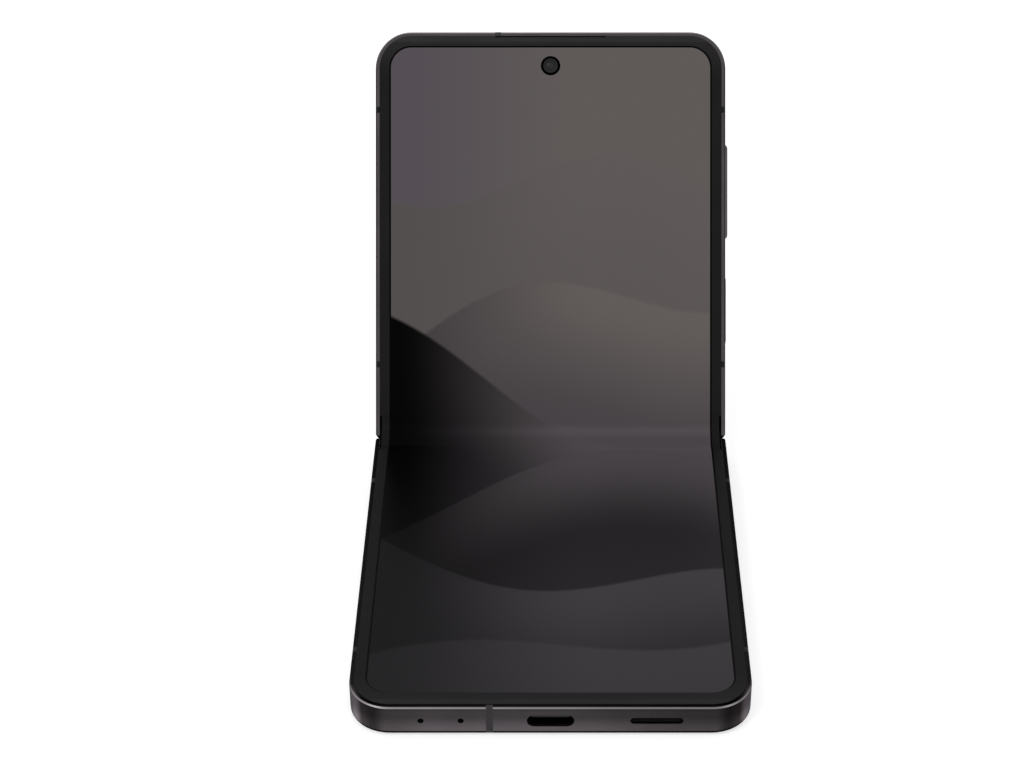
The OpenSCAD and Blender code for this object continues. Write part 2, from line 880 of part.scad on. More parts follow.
module spine_cover() {
    color("black") on_spine() {
        across(-spine_x + cap_t, spine_x - cap_t) difference() {
            cover_section();
            intersection() {
                cover_round(cover_r - cover_wall);
                translate([-far, floor_z]) square([2 * far, far]);
            }
        }
        both_sides() across(spine_x - cap_t, spine_x) cover_section();
    }
}

module spine_end_caps() {
    color("black") on_spine() both_sides() across(spine_x - cap_t, spine_x) {
        intersection() {
            translate([0, cap_top_z - cap_r]) circle(cap_r);
            translate([-cap_r, cover_top_z]) square([2 * cap_r, cap_top_z - cover_top_z]);
        }
        translate([-cap_r, cover_top_z]) square([2 * cap_r, cap_top_z - cap_r - cover_top_z]);
    }
}

// The stretch of display that bends: an arc that meets both halves at a tangent
function spine_point(y, z) = [
    axis_u + (y - axis_u) * cos(fold_half) - (z + axis_drop) * sin(fold_half),
    -axis_drop + (y - axis_u) * sin(fold_half) + (z + axis_drop) * cos(fold_half)
];

module bent_strip(y, z_top, thick) {
    start = spine_point(y, z_top);
    r = start[0] / sin(fold_half);
    translate([0, start[1] + r * cos(fold_half)]) intersection() {
        difference() {
            circle(r + thick);
            circle(r);
        }
        polygon([[0, 0], 2 * (r + thick) * [-sin(fold_half), -cos(fold_half)], [0, -3 * (r + thick)],
            2 * (r + thick) * [sin(fold_half), -cos(fold_half)]]);
    }
}

module display_fold() {
    color("slategray") on_spine() across(-screen_x + fit_gap, screen_x - fit_gap)
        bent_strip(fold_stretch, screen_z, screen_t);
}

module bezel_fold_strips() {
    color("black") on_spine() both_sides() across(screen_x, half_w - rim_w - notch_w)
        bent_strip(bezel_start, bezel_proud, bezel_proud + screen_drop);
}

module flex_tail() {
    block(flex_x - flex_w / 2, flex_x + flex_w / 2, flex_y, flex_end, beam_z, flex_seat_z);
}

module hinge_flex_cables() {
    color("saddlebrown") {
        on_spine() both_sides() across(flex_x - flex_w / 2, flex_x + flex_w / 2)
            bent_strip(flex_y, flex_seat_z, flex_t);
        on_upper() both_sides() flex_tail();
        on_lower() both_sides() flex_tail();
    }
}

module battery(len) {
    block(-battery_x, battery_x, battery_y0, battery_y0 + len, plate_back_z - battery_t, plate_back_z);
}

module lower_battery() {
    color("gray") on_lower() battery(battery_lower_len);
}

module upper_battery() {
    color("gray") on_upper() battery(battery_upper_len);
}

module charging_coil() {
    color("peru") on_lower() translate([0, battery_y0 + battery_lower_len / 2, back_in_z]) difference() {
        cylinder(r = coil_r, h = coil_t);
        translate([0, 0, -over]) cylinder(r = coil_hole_r, h = coil_t + 2 * over);
    }
}

module sub_board() {
    color("darkgreen") on_lower() difference() {
        block(sub_board_x0, sub_board_x1, sub_board_y0, sub_board_y1, plate_back_z - board_t, plate_back_z);
        plate_screw_holes(lower_screw_spots);
    }
}

module port_shell() {
    color("silver") on_lower() difference() {
        slot_bar(0, port_z, port_w + 2 * port_wall, port_h + 2 * port_wall, shell_y0, half_len - port_lip);
        slot_bar(0, port_z, port_w, port_h, shell_y0 + shell_rear_t, half_len);
    }
}

module port_tongue() {
    color("black") on_lower()
        block(-port_tongue_x, port_tongue_x, shell_y0 + shell_rear_t, half_len - port_lip - port_tongue_in,
            port_z - port_tongue_t / 2, port_z + port_tongue_t / 2);
}

module loudspeaker() {
    color("black") on_lower()
        block(speaker_x0, half_w - corner_r, sub_board_y0, inner_end, back_in_z + speaker_floor, plate_back_z);
}

module speaker_mesh() {
    color("dimgray") on_lower() difference() {
        slot_bar(slot_x, port_z, slot_w - 2 * mesh_fit, slot_h - 2 * mesh_fit,
            half_len - mesh_in - mesh_t, half_len - mesh_in);
        holes = floor((slot_w / 2 - mesh_margin) / mesh_pitch);
        for (i = [-holes:holes]) translate([slot_x + i * mesh_pitch, half_len - mesh_in - over, port_z])
            rotate([-90, 0, 0]) cylinder(r = mesh_hole_r, h = 2 * over, $fn = 16);
    }
}

module microphones() {
    color("silver") on_lower() for (x = [-mic_x_a, -mic_x_b])
        block(x - mic_box_w / 2, x + mic_box_w / 2, inner_end - mic_box_len, inner_end,
            port_z - mic_box_drop, plate_back_z);
}

module vibration_motor() {
    color("silver") on_lower() translate([motor_x, motor_y, plate_back_z - motor_t])
        cylinder(r = motor_r, h = motor_t);
}

module screw_heads(spots, z) {
    for (p = spots) translate([p[0], p[1], z - screw_head_h]) {
        cylinder(r = screw_head_r, h = screw_head_h);
        cylinder(r = screw_r, h = screw_head_h + board_t + mid_t - screw_floor);
    }
}

module arm_screws(shift) {
    for (x = arm_screw_xs(shift)) translate([x, arm_screw_y, arm_z]) {
        cylinder(r = screw_head_r, h = screw_head_h);
        translate([0, 0, -arm_t - beam_t + 2 * screw_floor])
            cylinder(r = screw_r, h = arm_t + beam_t - 2 * screw_floor + cut);
    }
}

module lower_screws() {
    color("silver") on_lower() {
        screw_heads(lower_screw_spots, plate_back_z - board_t);
        arm_screws(-stagger);
    }
}

module upper_screws() {
    color("silver") on_upper() {
        screw_heads(upper_screw_spots, plate_back_z - board_t);
        arm_screws(stagger);
    }
}

module magnets() {
    both_sides() block(magnet_x - magnet_w, magnet_x, magnet_y0, magnet_y0 + magnet_len,
        plate_back_z - magnet_t, plate_back_z);
}

module lower_magnets() {
    color("silver") on_lower() magnets();
}

module upper_magnets() {
    color("silver") on_upper() magnets();
}

module main_board() {
    color("darkgreen") on_upper() difference() {
        union() {
            block(main_board_x0, main_board_x1, main_board_y0, main_board_y1,
                plate_back_z - board_t, plate_back_z);
            block(main_board_x1 - cut, board_arm_x1, main_board_y0, board_arm_y1,
                plate_back_z - board_t, plate_back_z);
        }
        plate_screw_holes(upper_screw_spots);
    }
}

module board_shields() {
    top = plate_back_z - board_t;
    color("silver") on_upper() {
        block(socket_x1 + shield_gap, board_screw_x0 - board_edge, shield_y0, main_board_y1 - shield_gap,
            top - shield_low_t, top);
        block(board_screw_x0 + board_edge, board_screw_x1 - shield_gap, shield_y0, main_board_y1 - shield_gap,
            top - shield_high_t, top);
    }
}

module front_camera() {
    color("black") on_upper() translate([0, eye_y, 0]) {
        translate([0, 0, -eye_depth]) cylinder(r = eye_d / 2 + eye_wall, h = eye_depth + screen_back_z);
    }
}

module front_camera_window() {
    color("black") on_upper() translate([0, eye_y, screen_back_z])
        cylinder(r = eye_d / 2 - eye_play, h = screen_t);
}

module rear_cameras() {
    color("black") on_upper() camera_spots() {
        block(-camera_box / 2, camera_box / 2, -camera_box / 2, camera_box / 2,
            back_in_z + camera_room, plate_back_z);
        translate([0, 0, back_z - barrel_proud]) cylinder(r = lens_in_r - barrel_gap, h = back_t + over);
    }
}

module lens_rings() {
    color("silver") on_upper() camera_spots() difference() {
        union() {
            translate([0, 0, back_z - lens_proud]) cylinder(r = lens_r, h = lens_proud);
            translate([0, 0, back_z - cut]) cylinder(r = lens_in_r, h = back_t + ring_tuck);
        }
        translate([0, 0, back_z - lens_seat]) cylinder(r = lens_in_r - ring_ledge, h = far);
        translate([0, 0, back_z - lens_proud - over])
            cylinder(r = lens_in_r, h = lens_proud - lens_seat + over);
    }
}

module lens_windows() {
    color("black") on_upper() camera_spots() translate([0, 0, back_z - lens_proud + glass_in])
        cylinder(r = lens_in_r - fit_gap, h = lens_proud - lens_seat - glass_in);
}

module flash_window() {
    color("white") on_upper() flash_spot() translate([0, 0, back_z])
        cylinder(r = flash_r, h = back_t + flash_tuck);
}

module earpiece() {
    color("black") on_upper()
        block(ear_x0, ear_x1, inner_end - ear_box_len, inner_end, plate_back_z - ear_box_t, plate_back_z);
}

module earpiece_mesh() {
    color("dimgray") on_upper() difference() {
        block(-ear_w / 2 + mesh_fit, ear_w / 2 - mesh_fit, ear_y + mesh_fit, ear_y + ear_h - mesh_fit,
            ear_mesh_z - ear_mesh_t, ear_mesh_z);
        holes = floor((ear_w / 2 - mesh_margin) / ear_hole_pitch);
        for (i = [-holes:holes]) translate([i * ear_hole_pitch, ear_y + ear_h / 2, -over])
            cylinder(r = ear_hole_r, h = over, $fn = 16);
    }
}

// A key: its cap fills the slot in the wall and its flange stays behind the wall
module side_key(y, len, proud) {
    translate([key_back_x, y, key_z]) rotate([90, 0, 90])
        linear_extrude(half_w + proud - key_back_x) stadium(len, key_h);
    translate([key_back_x, y, key_z]) rotate([90, 0, 90])
        linear_extrude(key_flange) stadium(len + 2 * flange_over, key_h + 2 * flange_over);
}

module volume_key() {
    color("dimgray") on_upper() side_key(volume_y, volume_len, volume_proud);
}

module power_key() {
    color("black") on_upper() side_key(power_y, power_len, power_proud);
}

module switch(y) {
    block(switch_x - switch_tip, switch_x, y - switch_tip_w / 2, y + switch_tip_w / 2,
        key_z - switch_tip_h / 2, key_z + switch_tip_h / 2);
    block(switch_x - switch_tip - switch_t, switch_x - switch_tip, y - switch_w / 2, y + switch_w / 2,
        key_z - key_h / 2, plate_back_z);
}

module volume_switches() {
    color("silver") on_upper() for (step = [-1, 1]) switch(volume_y + step * volume_len / 4);
}

module power_switch() {
    color("silver") on_upper() switch(power_y);
}

module card_tray() {
    color("dimgray") on_upper() {
        translate([-inner_x, tray_y, tray_z]) rotate([90, 0, -90]) linear_extrude(wall_t)
            stadium(tray_w + 2 * tray_face_over, tray_face_h);
        difference() {
            block(-inner_x - cut, -inner_x + tray_len, tray_y - tray_w / 2, tray_y + tray_w / 2,
                tray_z - tray_t / 2, tray_z + tray_t / 2);
            block(-inner_x + tray_rim, -inner_x + tray_len - tray_rim,
                tray_y - tray_w / 2 + tray_rim, tray_y + tray_w / 2 - tray_rim,
                tray_z - tray_t / 2 + tray_floor, tray_z + over);
        }
    }
}

module tray_socket() {
    half = tray_w / 2 + socket_play;
    color("silver") on_upper() difference() {
        block(-inner_x + fit_gap, socket_x1, tray_y - half - socket_wall, tray_y + half + socket_wall,
            tray_z - tray_t / 2 - socket_play - socket_wall, plate_back_z - board_t);
        block(-inner_x - over, socket_x1 - socket_wall, tray_y - half, tray_y + half,
            tray_z - tray_t / 2 - socket_play, tray_z + tray_t / 2 + socket_play);
    }
}

lower_frame();
lower_back_cover();
lower_bezel();
lower_display();
lower_wing_plate();
lower_battery();
charging_coil();
sub_board();
port_shell();
port_tongue();
loudspeaker();
speaker_mesh();
microphones();
vibration_motor();
lower_antenna_breaks();
lower_screws();
lower_hinge_arms();
lower_sync_arm();
lower_magnets();
upper_frame();
upper_back_cover();
cover_display();
upper_bezel();
upper_display();
upper_wing_plate();
upper_battery();
main_board();
board_shields();
front_camera();
front_camera_window();
rear_cameras();
lens_rings();
lens_windows();
flash_window();
earpiece();
earpiece_mesh();
power_key();
power_switch();
volume_key();
volume_switches();
card_tray();
tray_socket();
upper_antenna_breaks();
upper_screws();
upper_hinge_arms();
upper_sync_arm();
upper_magnets();
spine_cover();
spine_end_caps();
hinge_bases();
gear_block();
gear_pins();
upper_sync_gear();
upper_idler_gear();
lower_idler_gear();
lower_sync_gear();
display_fold();
bezel_fold_strips();
hinge_flex_cables();
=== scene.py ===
import json
from math import cos, pi, radians, sin

import bmesh
import bpy
from mathutils import Matrix, Vector

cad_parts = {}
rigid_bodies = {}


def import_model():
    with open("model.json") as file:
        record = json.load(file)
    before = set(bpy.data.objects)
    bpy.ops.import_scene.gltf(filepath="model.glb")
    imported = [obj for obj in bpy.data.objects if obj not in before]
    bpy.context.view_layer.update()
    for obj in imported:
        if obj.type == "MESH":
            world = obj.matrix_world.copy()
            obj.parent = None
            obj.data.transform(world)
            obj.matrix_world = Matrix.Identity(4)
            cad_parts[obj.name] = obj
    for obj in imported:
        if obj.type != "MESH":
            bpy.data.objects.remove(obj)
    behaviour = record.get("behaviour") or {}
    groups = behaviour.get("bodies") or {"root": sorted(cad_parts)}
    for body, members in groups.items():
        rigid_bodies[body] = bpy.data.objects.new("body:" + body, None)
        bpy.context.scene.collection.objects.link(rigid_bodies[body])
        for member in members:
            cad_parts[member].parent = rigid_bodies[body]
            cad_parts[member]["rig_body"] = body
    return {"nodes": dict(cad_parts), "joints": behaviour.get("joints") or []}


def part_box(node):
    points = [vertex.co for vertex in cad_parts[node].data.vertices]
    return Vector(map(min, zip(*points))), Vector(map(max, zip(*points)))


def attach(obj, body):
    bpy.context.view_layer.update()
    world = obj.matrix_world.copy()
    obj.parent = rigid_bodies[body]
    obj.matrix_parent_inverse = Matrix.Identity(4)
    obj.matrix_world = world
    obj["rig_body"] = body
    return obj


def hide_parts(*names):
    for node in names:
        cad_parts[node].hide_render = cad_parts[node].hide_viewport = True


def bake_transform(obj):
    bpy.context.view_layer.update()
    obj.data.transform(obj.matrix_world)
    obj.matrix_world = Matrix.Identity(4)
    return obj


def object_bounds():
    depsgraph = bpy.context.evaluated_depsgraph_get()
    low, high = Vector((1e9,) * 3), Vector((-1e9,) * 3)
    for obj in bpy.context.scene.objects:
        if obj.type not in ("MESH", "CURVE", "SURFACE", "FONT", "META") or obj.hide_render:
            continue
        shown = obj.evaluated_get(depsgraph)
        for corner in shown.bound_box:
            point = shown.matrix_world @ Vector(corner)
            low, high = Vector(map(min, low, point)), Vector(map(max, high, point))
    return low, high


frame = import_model()
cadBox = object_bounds()
nodes = frame["nodes"]
mm = 0.001
print("frame loaded:", len(nodes), "nodes")

# The open phone lies flat, in line with the lower half. Pieces are modelled there and then folded to rest.
joints = {joint["name"]: joint for joint in frame["joints"]}
restTurn = radians(-joints["fold"]["range_deg"][0])
lowerAxis = Vector(joints["fold"]["pos_m"])
upperAxis = Vector(joints["fold_upper"]["pos_m"])


def turnAbout(point, angle):
    return Matrix.Translation(point) @ Matrix.Rotation(angle, 4, "X") @ Matrix.Translation(-point)


spinePlace = turnAbout(lowerAxis, restTurn)
upperAxisFlat = spinePlace.inverted() @ upperAxis
upperPlace = spinePlace @ turnAbout(upperAxisFlat, restTurn)
foldY = (lowerAxis.y + upperAxisFlat.y) / 2
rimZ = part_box("lower_frame")[1].z
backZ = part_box("lower_frame")[0].z
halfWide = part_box("lower_frame")[1].x
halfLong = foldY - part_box("lower_frame")[0].y

bendZone = {
    "reach": 3.5 * mm,  # from an axis outwards, where the bend starts
    "middle": 0.15 * mm,  # from the spine's middle, where it ends
    "depth": 0.35 * mm,  # under the rim, the line that it is measured on
    "rows": 22,
}


def smoothShare(point, start, end):
    line = end - start
    share = max(0.0, min(1.0, (point - start).dot(line) / line.length_squared))
    return share * share * (3 - 2 * share)


bendZ = rimZ - bendZone["depth"]
lowerStart = Vector((0, lowerAxis.y - bendZone["reach"], bendZ))
lowerEnd = spinePlace @ Vector((0, foldY - bendZone["middle"], bendZ))
upperStart = spinePlace @ Vector((0, foldY + bendZone["middle"], bendZ))
upperEnd = upperPlace @ Vector((0, upperAxisFlat.y + bendZone["reach"], bendZ))


def foldPoint(flat):
    upper = flat.y > foldY
    share = 0.5
    for _ in range(60):  # the share of the turn depends on the place that it gives
        if upper:
            place = spinePlace @ turnAbout(upperAxisFlat, restTurn * share) @ flat
            share = smoothShare(place, upperStart, upperEnd)
        else:
            place = turnAbout(lowerAxis, restTurn * share) @ flat
            share = smoothShare(place, lowerStart, lowerEnd)
    return place


def pick(*objs):
    if bpy.context.object and bpy.context.object.mode == "EDIT":
        bpy.ops.object.mode_set(mode="OBJECT")
    bpy.ops.object.select_all(action="DESELECT")
    for obj in objs:
        obj.select_set(True)
    bpy.context.view_layer.objects.active = objs[0] if objs else None


def settle(obj, name):
    pick(obj)
    bpy.ops.object.transform_apply(location=True, rotation=True, scale=True)
    obj.name = name
    obj.data.name = name
    return obj


def addPlate(name, size, centre):
    pick()
    bpy.ops.mesh.primitive_cube_add(size=1, location=centre, scale=size)
    return settle(bpy.context.object, name)


def addDisc(name, radius, depth, centre, sides=96, axis="Z"):
    pick()
    turn = {"X": (0, pi / 2, 0), "Y": (pi / 2, 0, 0), "Z": (0, 0, 0)}[axis]
    bpy.ops.mesh.primitive_cylinder_add(
        vertices=sides, radius=radius, depth=depth, location=centre, rotation=turn
    )
    return settle(bpy.context.object, name)


def selectEdges(obj, test):
    # Edges whose middle and direction pass the test are left selected in edit mode.
    pick(obj)
    bpy.ops.object.mode_set(mode="EDIT")
    bpy.ops.mesh.select_mode(type="EDGE")
    bpy.ops.mesh.select_all(action="DESELECT")
    mesh = bmesh.from_edit_mesh(obj.data)
    for edge in mesh.edges:
        a, b = edge.verts[0].co, edge.verts[1].co
        edge.select_set(test((a + b) / 2, (b - a).normalized()))
    bmesh.update_edit_mesh(obj.data)


def selectFaces(obj, test):
    pick(obj)
    bpy.ops.object.mode_set(mode="EDIT")
    bpy.ops.mesh.select_mode(type="FACE")
    bpy.ops.mesh.select_all(action="DESELECT")
    mesh = bmesh.from_edit_mesh(obj.data)
    for face in mesh.faces:
        face.select_set(test(face.calc_center_median(), face.normal))
    bmesh.update_edit_mesh(obj.data)


def leaveEdit():
    bpy.ops.object.mode_set(mode="OBJECT")


def roundCorners(obj, radius, test=lambda place: True, steps=12):
    selectEdges(obj, lambda place, way: abs(way.z) > 0.9 and test(place))
    bpy.ops.mesh.bevel(offset=radius, offset_type="OFFSET", segments=steps, affect="EDGES")
    leaveEdit()
    return obj


def applyModifier(obj, kind, **settings):
    pick(obj)
    modifier = obj.modifiers.new(kind.lower(), kind)
    for key, value in settings.items():
        setattr(modifier, key, value)
    bpy.ops.object.modifier_apply(modifier=modifier.name)
    return obj


def cutAway(obj, tool):
    applyModifier(obj, "BOOLEAN", operation="DIFFERENCE", object=tool, solver="EXACT")
    bpy.data.objects.remove(tool)
    return obj


def softenEdges(obj, width, steps=3, angle=50):
    return applyModifier(
        obj, "BEVEL", width=width, segments=steps, limit_method="ANGLE", angle_limit=radians(angle)
    )


def cleanUp(obj, smooth=35):
    selectFaces(obj, lambda place, way: True)
    bpy.ops.mesh.remove_doubles(threshold=0.002 * mm)
    bpy.ops.mesh.select_all(action="SELECT")
    bpy.ops.mesh.normals_make_consistent(inside=False)
    leaveEdit()
    bpy.ops.object.shade_smooth_by_angle(angle=radians(smooth))
    return obj


def copyOf(obj, name):
    pick(obj)
    bpy.ops.object.duplicate()
    twin = bpy.context.object
    twin.name = name
    twin.data.name = name
    return twin


def keepSide(obj, y, side):
    # Cuts the mesh across at y and keeps one side of it, closed.
    selectFaces(obj, lambda place, way: True)
    bpy.ops.mesh.bisect(
        plane_co=(0, y, 0), plane_no=(0, side, 0), use_fill=True, clear_inner=True, threshold=0.0001 * mm
    )
    leaveEdit()
    return obj


def addRows(obj, y0, y1, count):
    for i in range(count + 1):
        selectFaces(obj, lambda place, way: True)
        bpy.ops.mesh.bisect(
            plane_co=(0, y0 + (y1 - y0) * i / count, 0), plane_no=(0, 1, 0), threshold=0.0001 * mm
        )
    leaveEdit()
    return obj


# Material patterns


def newMaterial(name, colour, rough, metal=0.0, **sockets):
    material = bpy.data.materials.new(name)
    material.use_nodes = True
    shader = material.node_tree.nodes["Principled BSDF"]
    shader.inputs["Base Color"].default_value = (*colour, 1)
    shader.inputs["Roughness"].default_value = rough
    shader.inputs["Metallic"].default_value = metal
    for key, value in sockets.items():
        shader.inputs[key.replace("_", " ")].default_value = value
    return material, material.node_tree, shader


def addNode(tree, kind, links=None, **settings):
    node = tree.nodes.new(kind)
    for key, value in settings.items():
        setattr(node, key, value)
    for socket, source in (links or {}).items():
        if hasattr(source, "is_output"):
            tree.links.new(source, node.inputs[socket])
        else:
            node.inputs[socket].default_value = source
    return node


def calc(tree, operation, a, b=0.0, c=0.0, clamp=False):
    links = {0: a, 1: b, 2: c}
    return addNode(tree, "ShaderNodeMath", links, operation=operation, use_clamp=clamp).outputs[0]


def fade(tree, value, low, high, a=0.0, b=1.0):
    links = {"Value": value, "From Min": low, "From Max": high, "To Min": a, "To Max": b}
    node = addNode(tree, "ShaderNodeMapRange", links, interpolation_type="SMOOTHSTEP")
    return node.outputs["Result"]


def hump(tree, value, middle, reach, height=1.0):
    # One soft swell about the middle, nothing beyond its reach.
    away = calc(tree, "ABSOLUTE", calc(tree, "SUBTRACT", value, middle))
    return fade(tree, away, reach, 0, 0, height)


def tint(tree, colour, amount):
    links = {0: colour, "Scale": amount}
    return addNode(tree, "ShaderNodeVectorMath", links, operation="SCALE").outputs[0]


def mixColour(tree, share, a, b, blend="MIX"):
    node = addNode(tree, "ShaderNodeMix", data_type="RGBA", blend_type=blend)
    for index, source in ((0, share), (6, a), (7, b)):
        if hasattr(source, "is_output"):
            tree.links.new(source, node.inputs[index])
        elif index == 0:
            node.inputs[index].default_value = source
        else:
            node.inputs[index].default_value = (*source, 1)
    return node.outputs[2]


def placeOn(tree, upper=False, stretch=(1, 1, 1), uv=False):
    # Coordinates in millimetres of the flat open phone, also on the upper half and on bending pieces.
    if uv:
        flat = addNode(tree, "ShaderNodeUVMap", uv_map="flatMap").outputs[0]
        scale = {"Vector": flat, "Scale": tuple(part * 2 * halfLong / mm for part in stretch)}
        return addNode(tree, "ShaderNodeMapping", scale, vector_type="POINT").outputs[0]
    coords = addNode(tree, "ShaderNodeTexCoord").outputs["Object"]
    back = upperPlace.inverted() if upper else Matrix.Identity(4)
    links = {
        "Vector": coords,
        "Rotation": back.to_euler(),
        "Location": back.to_translation(),
    }
    flat = addNode(tree, "ShaderNodeMapping", links, vector_type="POINT").outputs[0]
    scale = {"Vector": flat, "Scale": tuple(part / mm for part in stretch)}
    return addNode(tree, "ShaderNodeMapping", scale, vector_type="POINT").outputs[0]


def noise(tree, place, size, detail=3.0, rough=0.5):
    links = {"Vector": place, "Scale": 1 / size, "Detail": detail, "Roughness": rough}
    return addNode(tree, "ShaderNodeTexNoise", links).outputs[0]


def bumpOn(tree, shader, height, depth, strength=0.3):
    links = {"Height": height, "Distance": depth * mm, "Strength": strength}
    bump = addNode(tree, "ShaderNodeBump", links)
    tree.links.new(bump.outputs[0], shader.inputs["Normal"])


def feed(tree, shader, socket, source):
    tree.links.new(source, shader.inputs[socket])


def grained(name, colour, rough, metal=0.0, size=0.08, tone=0.12, spread=0.06, depth=0.004,
            upper=False, stretch=(1, 1, 1), broad=9.0, uv=False, **sockets):
    # A finish with fine grain, slow tone changes over the piece and uneven gloss.
    material, tree, shader = newMaterial(name, colour, rough, metal, **sockets)
    place = placeOn(tree, upper, stretch, uv)
    fine = noise(tree, place, size, 4)
    slow = noise(tree, place, broad, 2)
    both = calc(tree, "MULTIPLY_ADD", slow, 0.6, calc(tree, "MULTIPLY", fine, 0.4))
    dark = tuple(part * (1 - tone) for part in colour)
    pale = tuple(min(1, part * (1 + tone)) for part in colour)
    feed(tree, shader, "Base Color", mixColour(tree, fade(tree, both, 0.35, 0.65), dark, pale))
    feed(tree, shader, "Roughness", fade(tree, both, 0.3, 0.7, rough - spread, rough + spread))
    bumpOn(tree, shader, fine, depth)
    return material, tree, shader


def dress(material, *names):
    for name in names:
        slots = nodes[name].material_slots
        for slot in slots:
            slot.material = material
        if not slots:
            nodes[name].data.materials.append(material)


def coat(obj, *materials):
    obj.data.materials.clear()
    for material in materials:
        obj.data.materials.append(material)
    return obj


def mount(obj, body, slotName, *replaced):
    # The finished piece leaves the flat phone for its place at rest, and moves with a body.
    if body not in ("lower_half", "spine"):
        obj.data.transform(upperPlace)
    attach(obj, body)
    if replaced:
        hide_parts(*replaced)
    return obj


def flatBox(name):
    # A node's lowest and highest corners on the flat open phone.
    back = upperPlace.inverted() if nodes[name]["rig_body"] != "lower_half" else Matrix.Identity(4)
    places = [back @ vertex.co for vertex in nodes[name].data.vertices]
    return [Vector(ends(place[i] for place in places) for i in range(3)) for ends in (min, max)]


def plateBetween(name, low, high):
    return addPlate(name, Vector(high) - Vector(low), (Vector(low) + Vector(high)) / 2)


def addStack(name, centre, radius, depth, facing, steps, sides=96):
    # A round piece whose outer face is inset step by step; each step then sinks or lifts what is left.
    stack = addDisc(name, radius, depth, Vector(centre) - Vector((0, 0, facing * depth / 2)), sides)
    selectFaces(stack, lambda place, way: way.z * facing > 0.9)
    for width, sink in steps:
        bpy.ops.mesh.inset(thickness=width, depth=0)
        bpy.ops.transform.translate(value=(0, 0, -facing * sink))
    leaveEdit()
    return cleanUp(stack)


def paintBands(obj, centre, bands):
    # Materials from the middle outwards: each band is (radius, material).
    coat(obj, *[material for radius, material in bands])
    for face in obj.data.polygons:
        reach = (face.center - Vector(centre)).xy.length
        face.material_index = next(
            (i for i, (radius, material) in enumerate(bands) if reach < radius), len(bands) - 1
        )


# Frames: dark anodised aluminium, with a bright turned chamfer round the front rim whose brightness is partly a
# painted highlight; the rim's face and the lower frame's far wall carry painted light and shade.

frameLook = {
    "metal": (0.050, 0.045, 0.048),
    "edgeTint": {False: (0.3, 0.3, 0.3, 1), True: (0.4, 0.4, 0.4, 1)},  # at the edges that turn away
    # the turned chamfer's polished metal, brightened into a painted highlight
    "chamferMetalAndHighlight": (0.222, 0.206, 0.211),
    "sideChamferShade": 0.16,  # painted shade: what is left of the chamfer's bright tone along the sides
    "rimLightAndShade": {False: 0.16, True: 1.3},  # painted light and shade: tone of the rim's face, darker on the lower and lighter on the upper half
    "rough": 0.34,
    "grain": 0.07,
    "chamfer": 0.3,
    "chamferHighlightShare": 0.75,  # share of the chamfer that gets the painted highlight
    "foot": 2.2,  # painted reflection of the floor: the far wall grows lighter towards the floor
    "cornerPaintedShade": (31.5, 2.5, 0.58),  # painted shade and highlight: dark and light bands round the far corners: place, reach, strength
    "cornerPaintedHighlight": (35.4, 2.0, 5.2),
    "left": 0.76,  # painted shade: the far wall is darker towards both sides
    "right": 0.58,
    "chamferLightSlope": (1.16, 0.86),  # painted highlight along the chamfer, brighter at the left than at the right
}


